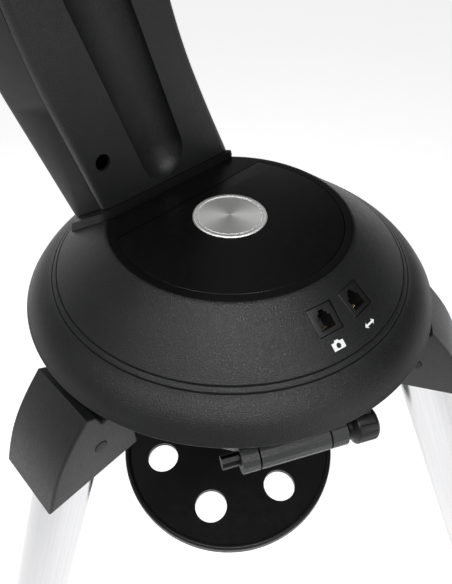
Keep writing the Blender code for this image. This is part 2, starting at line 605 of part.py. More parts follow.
def make_chassis(axis):
    plate = turned("chassis_plate", "cast_alloy", axis,
                   [(0.0223, CHASSIS_TOP), (0.1275, CHASSIS_TOP), (0.1325, CHASSIS_LOW),
                    (0.0223, CHASSIS_LOW)], steps=FINE, ring=True)
    motor_gap = box("motor_gap", None, axis, (0.0225, 0.042, 0.03), (AZ_WORM_X, 0.0420, 0.004))
    bracket_size = (0.008, 0.006, 0.0125)
    for side in (-1, 1):
        bracket = box("worm_bracket", None, axis, bracket_size,
                      (AZ_WORM_X - 0.011, side * 0.0105, CHASSIS_TOP - 1 * MM + bracket_size[2] / 2))
        combine(plate, bracket, operation="UNION")
    jack_gap = box("jack_gap", None, axis, (0.030, 0.050, 0.03), (-0.128, 0, 0.004))
    combine(plate, motor_gap, jack_gap)
    for y in (-0.026, 0.026):
        for x in (0.056, 0.098):
            post = cylinder("board_post", None, axis, 2.5 * MM, 4.5 * MM,
                            (x, y, CHASSIS_TOP + 1.3 * MM), segments=12)
            combine(plate, post, operation="UNION")
    board = box("circuit_board", "circuit_green", axis, (0.050, 0.064, 1.6 * MM),
                (0.077, 0, CHASSIS_TOP + 3.55 * MM + GAP + 0.8 * MM))
    chip = box("chip_shape", None, axis, (0.014, 0.014, 2.0 * MM), (0.070, 0.004, 0.0115))
    plug = box("plug_shape", None, axis, (0.006, 0.018, 4.0 * MM), (0.090, -0.018, 0.0125))
    combine(board, chip, plug, operation="UNION")


def make_altitude_drive(axis, altitude):
    sideways = (0, radians(90), 0)
    seat = FLANGE_GAP
    face = seat + FLANGE_THICKNESS
    turned("altitude_shaft", "steel", altitude,
           [(0, face), (0.031, face), (0.033, face - 2 * MM), (0.033, seat), (0.010, seat),
            (0.010, -0.0285), (0, -0.0285)],
           (ARM_INNER_X, 0, 0), sideways, steps=MEDIUM)
    wheel = prism("altitude_worm_wheel", "brass", altitude, gear_outline(ALT_WHEEL_RADIUS, 18, 1.5 * MM),
                  0.0062, (ALT_WHEEL_X, 0, 0), sideways)
    bore = cylinder("alt_wheel_bore", None, altitude, 0.0103, 0.03, (ALT_WHEEL_X, 0, 0), sideways)
    combine(wheel, bore)
    spin = pivot("altitude_worm_axis", axis, (ALT_WHEEL_X, ALTITUDE_Y, ALTITUDE_Z - ALT_WORM_DROP),
                 (radians(90), 0, 0))
    turned("altitude_worm", "steel", spin, worm_profile(WORM_RADIUS, 0.026, 3, 3.4 * MM), steps=COARSE)
    cylinder("altitude_motor", "bare_alloy", axis, 0.0080, 0.026,
             (ALT_WHEEL_X, ALTITUDE_Y + 0.0265, ALTITUDE_Z - ALT_WORM_DROP), FACE_XZ, segments=MEDIUM)


def make_saddle(altitude):
    """Dovetail saddle on the inner end of the altitude shaft; the bar lies along Y."""
    back = ARM_INNER_X + FLANGE_GAP + FLANGE_THICKNESS + GAP
    floor = back + 0.009
    face = floor + SLOT_DEPTH
    relief = floor - 1 * MM
    seat_low = SLOT_FOOT + 0.7 * MM
    section = [(back, -0.036), (face, -0.036), (face, -SLOT_MOUTH), (floor, -SLOT_FOOT),
               (relief, -SLOT_FOOT), (relief, -SLOT_LAND), (floor, -SLOT_LAND), (floor, SLOT_LAND),
               (relief, SLOT_LAND), (relief, seat_low), (floor, seat_low), (floor, 0.042),
               (face, 0.042), (face, 0.052), (back, 0.052)]
    saddle = prism("dovetail_saddle", "bare_alloy", altitude, section, 0.090, (0, 0, 0), FACE_XZ)
    screw_x = (floor + face) / 2
    screw_hole = cylinder("jaw_screw_hole", None, altitude, 3.3 * MM, 0.03, (screw_x, 0, 0.047),
                          segments=COARSE)
    combine(saddle, screw_hole)
    jaw_section = [(floor + GAP, SLOT_FOOT), (face, SLOT_MOUTH), (face, 0.034), (floor + GAP, 0.034)]
    jaw = prism("saddle_jaw", "bare_alloy", altitude, jaw_section, 0.060, (0, 0, 0), FACE_XZ)
    hole_low = STUD_END - JAW_TRAVEL - 1 * MM
    hole_length = 0.03
    jaw_hole = cylinder("jaw_hole", None, altitude, 3.3 * MM, hole_length,
                        (screw_x, 0, hole_low + hole_length / 2), segments=COARSE)
    combine(jaw, jaw_hole)
    knob = turned("saddle_knob", "satin_plastic", altitude,
                  [(0, 0.078), (0.010, 0.078), (0.0125, 0.075), (0.0125, 0.059), (0.009, 0.0565),
                   (0.006, 0.0525), (3 * MM, 0.0525), (3 * MM, STUD_END), (0, STUD_END)],
                  (screw_x, 0, 0), steps=MEDIUM)
    for flute in range(6):
        angle = 2 * pi * flute / 6
        cutter = cylinder("knob_flute", None, altitude, 3.4 * MM, 0.03,
                          (screw_x + 0.0148 * cos(angle), 0.0148 * sin(angle), 0.068), segments=12)
        combine(knob, cutter)


# ---- wedge and hub ----------------------------------------------------------------------
def make_wedge(wedge, tip):
    """tip is a frame at the azimuth axis whose +X points to the hinge side."""
    plate = cylinder("wedge_plate", "cast_alloy", tip, 0.112, 0.008, (0, 0, -0.0217), segments=FINE)
    tongue = box("wedge_tongue", None, tip, (0.034, BARREL_LENGTH - 2 * MM, 0.0074), (0.1095, 0, -0.0217))
    barrel = cylinder("wedge_barrel", None, tip, 0.009, BARREL_LENGTH, (HINGE_REACH, 0, HINGE_DROP), FACE_XZ)
    bore = cylinder("wedge_bore", None, tip, 4.3 * MM, 0.12, (HINGE_REACH, 0, HINGE_DROP), FACE_XZ,
                    segments=COARSE)
    combine(plate, tongue, barrel, operation="UNION")
    combine(plate, bore)
    pan = turned("base_pan", "satin_plastic", wedge,
                 [(0, -0.0080), (0.029, -0.0080), (0.029, -0.0130), (0.1215, -0.0130), (0.1225, -0.0030),
                  (0.1265, -0.0030), (0.1275, -0.0045), (0.1265, -0.0150), (0.1245, -0.0174), (0, -0.0174)],
                 steps=FINE)
    bolt_hole = cylinder("base_bolt_hole", None, wedge, 5.3 * MM, 0.05, (0, 0, -0.015), segments=COARSE)
    combine(plate, bolt_hole)
    combine(pan, bolt_hole)
    head_low = -0.0257 - GAP - 0.006
    turned("base_bolt", "steel", wedge,
           [(0, -0.0082), (0.005, -0.0082), (0.005, -0.0257 - GAP), (0.010, -0.0257 - GAP),
            (0.010, head_low), (0, head_low)], steps=COARSE)

    knob_start = EAR_END + 1.5 * MM
    bolt_low, bolt_high = -EAR_END - 10.5 * MM, EAR_END + 14 * MM
    cylinder("wedge_hinge_bolt", "blackened_steel", tip, 4 * MM, bolt_high - bolt_low,
             (HINGE_REACH, (bolt_low + bolt_high) / 2, HINGE_DROP), FACE_XZ, segments=COARSE)
    turned("wedge_clamp_knob", "satin_plastic", tip,
           [(0.0043, -knob_start), (0.0065, -knob_start), (0.0075, -knob_start - 2.5 * MM),
            (0.0105, -knob_start - 4.5 * MM), (0.0105, -knob_start - 16.5 * MM),
            (0.0085, -knob_start - 18.5 * MM), (0.0043, -knob_start - 18.5 * MM)],
           (HINGE_REACH, 0, HINGE_DROP), FACE_XZ, steps=MEDIUM, ring=True)


def make_hub(hub, tip):
    sides = 12
    circum = HUB_APOTHEM / cos(pi / sides)
    turn = (0, 0, pi / sides)
    body = cylinder("tripod_hub", "cast_alloy", hub, circum - 0.008, HUB_TOP - HUB_BOTTOM,
                    (0, 0, (HUB_TOP + HUB_BOTTOM) / 2), turn, segments=sides, top_radius=circum,
                    edge=1.2 * MM)
    cup = cylinder("hub_cup", None, hub, circum - 0.016, 0.040, (0, 0, HUB_BOTTOM - 0.020 + 0.030), turn,
                   segments=sides)
    bolt_well = cylinder("hub_bolt_well", None, hub, 0.0105, 0.03, (0, 0, HUB_TOP), segments=MEDIUM)
    for side in (-1, 1):
        ear = box("hinge_ear", None, tip, (0.034, EAR_LENGTH - 0.6 * MM, 0.0118),
                  (HINGE_REACH - 0.017, side * EAR_CENTRE, HINGE_DROP - 2.2 * MM))
        eye = cylinder("hinge_eye", None, tip, 0.009, EAR_LENGTH,
                       (HINGE_REACH, side * EAR_CENTRE, HINGE_DROP), FACE_XZ)
        combine(body, ear, eye, operation="UNION")
    pin_hole = cylinder("ear_bore", None, tip, 4.3 * MM, 0.14, (HINGE_REACH, 0, HINGE_DROP), FACE_XZ,
                        segments=COARSE)
    boss = cylinder("rod_boss", None, hub, 0.016, 0.026, (0, 0, -0.043), segments=MEDIUM)
    rod_hole = cylinder("rod_hole", None, hub, 5.3 * MM, 0.05, (0, 0, -0.052), segments=COARSE)
    combine(body, cup)
    combine(body, boss, operation="UNION")
    combine(body, bolt_well, rod_hole, pin_hole)


def make_tray(hub):
    rod_top, rod_low = -0.0400, -0.300
    cylinder("centre_rod", "steel", hub, 5 * MM, rod_top - rod_low, (0, 0, (rod_top + rod_low) / 2),
             segments=COARSE)
    level = -0.262
    floor = level + 2.5 * MM
    base = level - 2.5 * MM
    tray = turned("accessory_tray", "satin_plastic", hub,
                  [(0, floor), (0.1085, floor), (0.1100, level + 8 * MM), (0.1125, level + 8 * MM),
                   (0.1140, level + 6.5 * MM), (0.1140, base + 1.2 * MM), (0.1128, base), (0, base)],
                  steps=30)
    for index in range(6):
        angle = 2 * pi * index / 6
        well = cylinder("eyepiece_well", None, hub, 0.0162, 0.05,
                        (0.074 * cos(angle), 0.074 * sin(angle), level), segments=COARSE)
        combine(tray, well)
    bore = cylinder("tray_bore", None, hub, 5.3 * MM, 0.05, (0, 0, level), segments=COARSE)
    combine(tray, bore)
    top = level - 0.0025 - GAP
    knob = turned("tray_knob", "satin_plastic", hub,
                  [(5.3 * MM, top), (0.012, top), (0.019, top - 0.006), (0.019, top - 0.018),
                   (0.016, top - 0.021), (5.3 * MM, top - 0.021)], steps=24, ring=True)
    for flute in range(5):
        angle = 2 * pi * flute / 5
        cutter = cylinder("tray_flute", None, hub, 6 * MM, 0.05,
                          (0.0225 * cos(angle), 0.0225 * sin(angle), top - 0.012), segments=12)
        combine(knob, cutter)


# ---- legs -------------------------------------------------------------------------------
def housing_outline(shrink=0.0):
    """Side view of a leg housing as (reach, height): flat below, humped outside."""
    low = HUB_BOTTOM - 2 * MM
    hump = []
    for i in range(7):
        t = i / 6
        bulge = 4.5 * MM * sin(pi * t)
        hump.append((0.181 - 0.040 * t + bulge * 0.82, low + (0.058) * t + bulge * 0.57))
    outline = [(HUB_APOTHEM + 1.6 * MM, low)] + hump
    outline += [(0.1355, -0.0115), (0.1330, -0.0200), (HUB_APOTHEM + 1.6 * MM, -0.0200)]
    return inset(outline, shrink) if shrink else outline


def make_leg(hub, number, azimuth):
    side = pivot(f"leg_{number}_side", hub, rotation=(0, 0, radians(azimuth)))
    inside = HOUSING_WIDTH - 2 * HOUSING_WALL
    housing = prism(f"leg_housing_{number}", "textured_plastic", side, housing_outline(), HOUSING_WIDTH,
                    rotation=FACE_XZ)
    cavity = prism("housing_cavity", None, side, housing_outline(HOUSING_WALL), inside, rotation=FACE_XZ)
    mouth = box("housing_mouth", None, side, (0.0555, inside, 0.03),
                (HUB_APOTHEM + 4.6 * MM + 0.0555 / 2, 0, HUB_BOTTOM - 2 * MM))
    pin_hole = cylinder("housing_pin_hole", None, side, 4.3 * MM, 0.08, (PIVOT_REACH, 0, -PIVOT_DROP),
                        FACE_XZ, segments=COARSE)
    combine(housing, cavity, mouth, pin_hole)
    cylinder(f"leg_pivot_pin_{number}", "blackened_steel", side, 4 * MM, HOUSING_WIDTH + 0.6 * MM,
             (PIVOT_REACH, 0, -PIVOT_DROP), FACE_XZ, segments=COARSE)

    leg = pivot(f"leg_{number}_pivot", side, (PIVOT_REACH, 0, -PIVOT_DROP), (0, -LEG_LEAN, 0))
    top = 0.006
    bottom = top - UPPER_TUBE_LENGTH
    tube = turned(f"upper_tube_{number}", "steel", leg,
                  ring_profile(UPPER_TUBE_RADIUS - TUBE_WALL, UPPER_TUBE_RADIUS, bottom, top), ring=True)
    cross = cylinder("tube_cross_hole", None, leg, 4.3 * MM, 0.06, (0, 0, 0), FACE_XZ, segments=COARSE)
    combine(tube, cross)

    clamp_low = bottom - 0.022
    clamp_high = bottom + 0.026
    clamp = turned(f"leg_clamp_{number}", "satin_plastic", leg,
                   [(UPPER_TUBE_RADIUS + GAP, clamp_high), (0.0225, clamp_high),
                    (0.0245, clamp_high - 2 * MM), (0.0245, clamp_low + 2 * MM), (0.0225, clamp_low),
                    (LOWER_TUBE_RADIUS + GAP, clamp_low),
                    (LOWER_TUBE_RADIUS + GAP, bottom - GAP), (UPPER_TUBE_RADIUS + GAP, bottom - GAP)],
                   ring=True)
    lug = cylinder("clamp_lug", None, leg, 0.0085, 0.016, (0.0265, 0, clamp_low + 0.012),
                   (0, radians(90), 0), segments=COARSE)
    stud_hole = cylinder("stud_hole", None, leg, 3.3 * MM, 0.030, (0.0325, 0, clamp_low + 0.012),
                         (0, radians(90), 0), segments=COARSE)
    bore = cylinder("clamp_bore", None, leg, LOWER_TUBE_RADIUS + GAP, 0.2, (0, 0, clamp_low), segments=MEDIUM)
    combine(clamp, lug, operation="UNION")
    combine(clamp, stud_hole, bore)

    knob = turned(f"leg_clamp_knob_{number}", "satin_plastic", leg,
                  [(0, 0.052), (0.009, 0.052), (0.011, 0.050), (0.011, 0.039), (0.007, 0.0355),
                   (3 * MM, 0.0355), (3 * MM, 0.0185), (0, 0.0185)],
                  (0, 0, clamp_low + 0.012), (0, radians(90), 0), steps=COARSE)
    for flute in range(4):
        angle = radians(45) + 2 * pi * flute / 4
        cutter = cylinder("leg_knob_flute", None, leg, 4 * MM, 0.03,
                          (0.047, 0.0135 * cos(angle), clamp_low + 0.012 + 0.0135 * sin(angle)),
                          (0, radians(90), 0), segments=12)
        combine(knob, cutter)

    lower_end = -LEG_LENGTH + 0.016
    turned(f"lower_tube_{number}", "steel", leg,
           ring_profile(LOWER_TUBE_RADIUS - TUBE_WALL, LOWER_TUBE_RADIUS, lower_end, -0.060), ring=True)
    foot_point = (0, 0, -LEG_LENGTH)
    pad = cylinder(f"foot_{number}", "rubber", leg, FOOT_RADIUS, FOOT_HEIGHT, foot_point,
                   (0, LEG_LEAN, 0), edge=1.5 * MM, segments=MEDIUM)
    boot = cylinder("foot_boot", None, leg, LOWER_TUBE_RADIUS + 2.6 * MM, 0.036, (0, 0, lower_end + 0.004),
                    segments=MEDIUM)
    below = box("floor_cut", None, leg, (0.2, 0.2, 0.04), (0, 0, 0))
    below.parent = hub
    below.location = (FOOT_REACH * cos(radians(azimuth)), FOOT_REACH * sin(radians(azimuth)),
                      -RIM_HEIGHT - 0.02)
    socket = cylinder("foot_socket", None, leg, LOWER_TUBE_RADIUS + GAP, 0.06,
                      (0, 0, lower_end - GAP + 0.03), segments=MEDIUM)
    combine(pad, boot, operation="UNION")
    combine(pad, socket, below)


def main():
    hub = pivot("hub_frame", None, (0, AZIMUTH_Y, RIM_HEIGHT))
    tip = pivot("hinge_side", hub, rotation=(0, 0, WEDGE_AZIMUTH))
    wedge = pivot("wedge_frame", hub)
    axis = pivot("azimuth_axis", hub)
    altitude = pivot("altitude_axis", axis, (0, ALTITUDE_Y, ALTITUDE_Z))

    make_hub(hub, tip)
    for number, azimuth in enumerate(LEG_AZIMUTHS, start=1):
        make_leg(hub, number, azimuth)
    make_tray(hub)
    make_wedge(wedge, tip)
    make_azimuth_drive(wedge, axis)
    make_chassis(axis)
    make_base_cover(axis)
    make_jacks(axis)
    make_battery_bay(axis)
    make_battery_cover(axis)
    make_arm(axis)
    make_collar(axis)
    make_arm_frame(axis)
    make_altitude_drive(axis, altitude)
    make_saddle(altitude)
    bpy.context.view_layer.update()
    bake_parts()


clear_scene()
PARTS = new_collection("fork_mount")
CUTTERS = new_collection("cutters")
MATERIALS = {name: new_material(name, *finish) for name, finish in FINISHES.items()}
main()
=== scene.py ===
"""The looks of the fork mount: fine surfaces, finishes, light and camera around the CAD frame.

Sizes are metres. HEAD is the frame at the azimuth axis on the rim plane of the round base.
"""

import json
from math import atan2, cos, pi, radians, sin, tan

import bmesh
import bpy
from mathutils import Euler, Matrix, Vector


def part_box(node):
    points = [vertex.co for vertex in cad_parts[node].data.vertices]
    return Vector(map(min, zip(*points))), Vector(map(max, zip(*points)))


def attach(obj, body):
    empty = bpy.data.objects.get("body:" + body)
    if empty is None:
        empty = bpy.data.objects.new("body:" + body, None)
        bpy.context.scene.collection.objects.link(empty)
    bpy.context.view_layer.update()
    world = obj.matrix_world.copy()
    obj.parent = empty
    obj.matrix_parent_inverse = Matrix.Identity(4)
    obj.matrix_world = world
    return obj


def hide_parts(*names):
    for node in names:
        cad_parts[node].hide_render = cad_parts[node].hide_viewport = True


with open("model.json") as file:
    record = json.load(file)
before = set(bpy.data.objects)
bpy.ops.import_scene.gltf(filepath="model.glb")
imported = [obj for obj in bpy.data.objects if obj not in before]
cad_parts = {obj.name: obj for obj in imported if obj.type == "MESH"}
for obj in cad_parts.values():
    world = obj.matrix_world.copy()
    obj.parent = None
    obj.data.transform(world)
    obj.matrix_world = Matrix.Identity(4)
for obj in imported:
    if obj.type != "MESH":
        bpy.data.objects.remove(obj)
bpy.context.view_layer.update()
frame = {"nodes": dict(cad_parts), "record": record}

MM = 0.001
GAP = 0.3 * MM

# ---- driving dimensions -----------------------------------------------------------------
RIM_RADIUS = 0.140
TOP_RADIUS = 0.080
TOP_HEIGHT = 0.044
CONE_FOOT = (0.1158, 0.0202)
SKIRT_HEAD = (0.1212, 0.0164)
COVER_WALL = 2.8 * MM
TOP_WALL = 5.0 * MM
LID_RADIUS = 0.074
LID_CHORD_X = -0.0327
JACKS = {"camera_jack": -14.3, "aux_jack": 0.7}
JACK_REACH = 0.0965
JACK_FRAME = 0.0164
ARM_INNER_X = -0.055
ARM_SEAM_X = -0.0625
ARM_OUTER_X = -0.090
ARM_FLARE = 0.012
ARM_WALL = 2.5 * MM
ALTITUDE_YZ = (-0.041, 0.255)
HEAD_RADIUS = 0.046
COLLAR_HEIGHT = 5.5 * MM
COLLAR_PROUD = 3 * MM
LEGS = {1: 30, 2: 150, 3: 270}
LEG_LEAN = radians(25)
PIVOT_REACH = 0.139
PIVOT_DROP = 0.040
HUB_APOTHEM = 0.114
HUB_BOTTOM = -0.064
HOUSING_WIDTH = 0.052
HOUSING_WALL = 3 * MM
FOOT_HEIGHT = 0.012

CONE_SLOPE = atan2(TOP_HEIGHT - CONE_FOOT[1], CONE_FOOT[0] - TOP_RADIUS)
SKIRT_SLOPE = atan2(SKIRT_HEAD[1], RIM_RADIUS - SKIRT_HEAD[0])

base_low, base_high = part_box("dome_cover")
AXIS = Vector(((base_low.x + base_high.x) / 2, (base_low.y + base_high.y) / 2, base_low.z))
HEAD = Matrix.Translation(AXIS)
LEG_LENGTH = (AXIS.z - PIVOT_DROP - FOOT_HEIGHT / 2) / cos(LEG_LEAN)
FACE_YZ = Euler((radians(90), 0, radians(90))).to_matrix().to_4x4()
FACE_XZ = Euler((radians(90), 0, 0)).to_matrix().to_4x4()
ALONG_X = Euler((0, radians(90), 0)).to_matrix().to_4x4()
ALONG_MINUS_X = Euler((0, radians(-90), 0)).to_matrix().to_4x4()


# ---- shapes -----------------------------------------------------------------------------
def shift(x=0.0, y=0.0, z=0.0):
    return Matrix.Translation((x, y, z))


def spin(angle, axis="Z"):
    return Matrix.Rotation(angle, 4, axis)


def solid(bm, place):
    """A bmesh made in its own frame, moved to its place in the row frame."""
    bmesh.ops.transform(bm, matrix=place, verts=bm.verts)
    bmesh.ops.recalc_face_normals(bm, faces=bm.faces)
    mesh = bpy.data.meshes.new("shape")
    bm.to_mesh(mesh)
    bm.free()
    obj = bpy.data.objects.new("shape", mesh)
    bpy.context.scene.collection.objects.link(obj)
    return obj


def filleted(points, closed=False, steps=5):
    """Round each corner that gives a third value, its radius, with a short curve."""
    result = []
    count = len(points)
    for i, point in enumerate(points):
        here = Vector(point[:2])
        if len(point) < 3 or (not closed and i in (0, count - 1)):
            result.append(tuple(here))
            continue
        before = Vector(points[i - 1][:2])
        after = Vector(points[(i + 1) % count][:2])
        back = min(point[2], 0.49 * (before - here).length)
        ahead = min(point[2], 0.49 * (after - here).length)
        start = here + (before - here).normalized() * back
        end = here + (after - here).normalized() * ahead
        for step in range(steps + 1):
            t = step / steps
            result.append(tuple(start * (1 - t) ** 2 + here * 2 * t * (1 - t) + end * t * t))
    return result


def turned(profile, place, steps=128, ring=False):
    """Turn a (radius, height) outline about Z; a ring's outline closes on itself."""
    bm = bmesh.new()
    verts = [bm.verts.new((r, 0, z)) for r, z in filleted(profile, ring)]
    edges = [bm.edges.new(pair) for pair in zip(verts, verts[1:])]
    if ring:
        edges.append(bm.edges.new((verts[-1], verts[0])))
    bmesh.ops.spin(bm, geom=verts + edges, cent=(0, 0, 0), axis=(0, 0, 1), angle=2 * pi,
                   steps=steps, use_merge=True)
    bmesh.ops.remove_doubles(bm, verts=bm.verts, dist=1e-7)
    return solid(bm, place)


def rod(radius, low, high, place, steps=64, edge=0.0):
    return turned([(0, high), (radius, high, edge), (radius, low, edge), (0, low)], place, steps)


def soften(bm, edges, width, segments):
    bmesh.ops.bevel(bm, geom=edges, offset=width, segments=segments, affect="EDGES", profile=0.5,
                    clamp_overlap=True)


def prism(outline, low, high, place, soft_low=0.0, soft_high=0.0, segments=5):
    """An XY outline between two heights, with its two rims rounded as asked."""
    bm = bmesh.new()
    bottom = bm.faces.new([bm.verts.new((x, y, low)) for x, y in outline])
    lifted = bmesh.ops.extrude_face_region(bm, geom=[bottom])["geom"]
    verts = [item for item in lifted if isinstance(item, bmesh.types.BMVert)]
    bmesh.ops.translate(bm, vec=(0, 0, high - low), verts=verts)
    for height, width in ((low, soft_low), (high, soft_high)):
        if width:
            rim = [e for e in bm.edges if all(abs(v.co.z - height) < 1e-7 for v in e.verts)]
            soften(bm, rim, width, segments)
    return solid(bm, place)


def lofted(near, far, x_near, x_far, place, soft_near=0.0, soft_far=0.0):
    """Two (y, z) outlines of equal count joined across a span of x, with their rims rounded."""
    bm = bmesh.new()
    start = [bm.verts.new((x_near, y, z)) for y, z in near]
    end = [bm.verts.new((x_far, y, z)) for y, z in far]
    bm.faces.new(start)
    bm.faces.new(reversed(end))
    for i in range(len(start)):
        bm.faces.new((start[i - 1], end[i - 1], end[i], start[i]))
    for x, width in ((x_near, soft_near), (x_far, soft_far)):
        if width:
            soften(bm, [e for e in bm.edges if all(abs(v.co.x - x) < 1e-7 for v in e.verts)], width, 5)
    return solid(bm, place)


def block(size, place, edge=0.0, segments=3):
    bm = bmesh.new()
    bmesh.ops.create_cube(bm, size=1.0)
    bmesh.ops.scale(bm, vec=size, verts=bm.verts)
    if edge:
        soften(bm, list(bm.edges), edge, segments)
    return solid(bm, place)


def carve(target, *tools, operation="DIFFERENCE"):
    """Cut or join solids, then drop the tools."""
    for tool in tools:
        step = target.modifiers.new("carve", "BOOLEAN")
        step.operation = operation
        step.solver = "EXACT"
        step.object = tool
    graph = bpy.context.evaluated_depsgraph_get()
    mesh = bpy.data.meshes.new_from_object(target.evaluated_get(graph))
    target.modifiers.clear()
    target.data = mesh
    for tool in tools:
        bpy.data.objects.remove(tool, do_unlink=True)
    return target


def arc(centre, radius, start, end, count):
    angles = [radians(start + (end - start) * i / count) for i in range(count + 1)]
    return [(centre[0] + radius * cos(a), centre[1] + radius * sin(a)) for a in angles]


def inset(outline, distance):
    """Move every side of a counter-clockwise outline inwards."""
    moved = []
    count = len(outline)
    for i, point in enumerate(outline):
        here = Vector(point)
        side_in = (here - Vector(outline[i - 1])).normalized()
        side_out = (Vector(outline[(i + 1) % count]) - here).normalized()
        normal_in = Vector((-side_in.y, side_in.x))
        middle = (normal_in + Vector((-side_out.y, side_out.x))).normalized()
        moved.append(tuple(here + middle * (distance / max(0.4, middle.dot(normal_in)))))
    return moved


def dress(obj, name, body, finish, slot, *stands_for, sharp=32):
    """Name a finished solid, give it its finish and smooth shading, and hang it on its body."""
    obj.name = name
    obj.data.name = name
    obj.data.materials.clear()
    obj.data.materials.append(FINISH[finish])
    obj.data.shade_smooth()
    obj.data.set_sharp_from_angle(angle=radians(sharp))
    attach(obj, body)
    if stands_for:
        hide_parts(*stands_for)
    return obj


# ---- finishes ---------------------------------------------------------------------------
class Finish:
    """A Principled material whose colour, roughness and bump come from procedural textures."""

    def __init__(self, name, roughness, metallic=0.0, specular=0.5):
        self.material = bpy.data.materials.new(name)
        self.material.use_nodes = True
        self.tree = self.material.node_tree
        self.shader = self.tree.nodes["Principled BSDF"]
        self.shader.inputs["Metallic"].default_value = metallic
        self.shader.inputs["Roughness"].default_value = roughness
        self.shader.inputs["Specular IOR Level"].default_value = specular
        self.where = self.tree.nodes.new("ShaderNodeTexCoord").outputs["Object"]
        self.normal = None

    def link(self, source, target):
        self.tree.links.new(source, target)

    def stretched(self, stretch):
        mapping = self.tree.nodes.new("ShaderNodeMapping")
        mapping.inputs["Scale"].default_value = stretch
        self.link(self.where, mapping.inputs["Vector"])
        return mapping.outputs["Vector"]

    def along(self, turn):
        """Texture space lined up with a turned piece."""
        mapping = self.tree.nodes.new("ShaderNodeMapping")
        mapping.vector_type = "TEXTURE"
        mapping.inputs["Rotation"].default_value = turn.to_euler()
        self.link(self.where, mapping.inputs["Vector"])
        return mapping.outputs["Vector"]

    def noise(self, scale, detail=3.0, roughness=0.55, stretch=(1, 1, 1)):
        texture = self.tree.nodes.new("ShaderNodeTexNoise")
        texture.inputs["Scale"].default_value = scale
        texture.inputs["Detail"].default_value = detail
        texture.inputs["Roughness"].default_value = roughness
        self.link(self.stretched(stretch), texture.inputs["Vector"])
        return texture.outputs["Fac"]

    def cells(self, scale):
        texture = self.tree.nodes.new("ShaderNodeTexVoronoi")
        texture.inputs["Scale"].default_value = scale
        self.link(self.where, texture.inputs["Vector"])
        return texture.outputs["Distance"]

    def colour(self, source, dark, light, spread=(0.3, 0.7)):
        ramp = self.tree.nodes.new("ShaderNodeValToRGB")
        for stop, at, tint in zip(ramp.color_ramp.elements, spread, (dark, light)):
            stop.position = at
            stop.color = (*tint, 1)
        self.link(source, ramp.inputs["Fac"])
        self.link(ramp.outputs["Color"], self.shader.inputs["Base Color"])
        return self

    def roughness(self, source, low, high):
        span = self.tree.nodes.new("ShaderNodeMapRange")
        span.inputs["From Min"].default_value = 0.3
        span.inputs["From Max"].default_value = 0.7
        span.inputs["To Min"].default_value = low
        span.inputs["To Max"].default_value = high
        self.link(source, span.inputs["Value"])
        self.link(span.outputs["Result"], self.shader.inputs["Roughness"])
        return self

    def bump(self, source, depth, strength=1.0):
        bump = self.tree.nodes.new("ShaderNodeBump")
        bump.inputs["Strength"].default_value = strength
        bump.inputs["Distance"].default_value = depth
        self.link(source, bump.inputs["Height"])
        if self.normal:
            self.link(self.normal, bump.inputs["Normal"])
        self.normal = bump.outputs["Normal"]
        self.link(self.normal, self.shader.inputs["Normal"])
        return self


def grained_plastic(name, dark, light, rough, grain, depth, specular=0.5):
    """Fine cast-in grain: small bumps, with a glint here and there where a grain is smoother."""
    finish = Finish(name, rough, specular=specular)
    finish.colour(finish.noise(45, 4), dark, light)
    finish.roughness(finish.noise(grain, 1.0, 0.5), rough - 0.16, rough + 0.10)
    finish.bump(finish.cells(grain), depth).bump(finish.noise(grain * 2.3, 0.0), depth * 0.4)
    return finish.material


def satin_plastic(name, dark, light, rough, specular=0.5):
    finish = Finish(name, rough, specular=specular)
    finish.colour(finish.noise(35, 4), dark, light)
    finish.roughness(finish.noise(180, 5), rough - 0.04, rough + 0.07)
    finish.bump(finish.noise(2600, 2), 0.02 * MM)
    return finish.material


def metal(name, dark, light, rough, scale=700, depth=0.02 * MM):
    finish = Finish(name, rough, 1.0)
    finish.colour(finish.noise(90, 4), dark, light)
    finish.roughness(finish.noise(scale, 4), rough - 0.07, rough + 0.10)
    finish.bump(finish.noise(scale * 1.5, 3), depth)
    return finish.material


def brushed_tube(name, turn):
    """Steel with fine drawn lines along its own length; turn is the tube's lie."""
    finish = Finish(name, 0.22, 1.0)
    finish.where = finish.along(turn)
    lines = finish.noise(1500, 2, 0.5, stretch=(1, 1, 0.004))
    finish.colour(lines, (0.60, 0.60, 0.61), (0.68, 0.68, 0.69))
    finish.roughness(lines, 0.17, 0.27)
    finish.bump(lines, 0.006 * MM)
    return finish.material


def spun_metal(name):
    """Concentric turning marks: rings that depend only on the distance from the azimuth axis."""
    finish = Finish(name, 0.27, 1.0)
    offset = finish.tree.nodes.new("ShaderNodeVectorMath")
    offset.operation = "SUBTRACT"
    offset.inputs[1].default_value = AXIS
    finish.link(finish.where, offset.inputs[0])
    flat = finish.tree.nodes.new("ShaderNodeVectorMath")
    flat.operation = "MULTIPLY"
    flat.inputs[1].default_value = (1, 1, 0)
    finish.link(offset.outputs["Vector"], flat.inputs[0])
    reach = finish.tree.nodes.new("ShaderNodeVectorMath")
    reach.operation = "LENGTH"
    finish.link(flat.outputs["Vector"], reach.inputs[0])
    rings = finish.tree.nodes.new("ShaderNodeTexNoise")
    rings.noise_dimensions = "1D"
    rings.inputs["Scale"].default_value = 5200
    rings.inputs["Detail"].default_value = 4
    finish.link(reach.outputs["Value"], rings.inputs["W"])
    finish.colour(rings.outputs["Fac"], (0.84, 0.84, 0.83), (0.93, 0.93, 0.92))
    finish.roughness(rings.outputs["Fac"], 0.52, 0.64)
    finish.bump(rings.outputs["Fac"], 0.02 * MM)
    tangent = finish.tree.nodes.new("ShaderNodeTangent")
    tangent.direction_type = "RADIAL"
    tangent.axis = "Z"
    finish.link(tangent.outputs["Tangent"], finish.shader.inputs["Tangent"])
    finish.shader.inputs["Anisotropic"].default_value = 0.35
    return finish.material


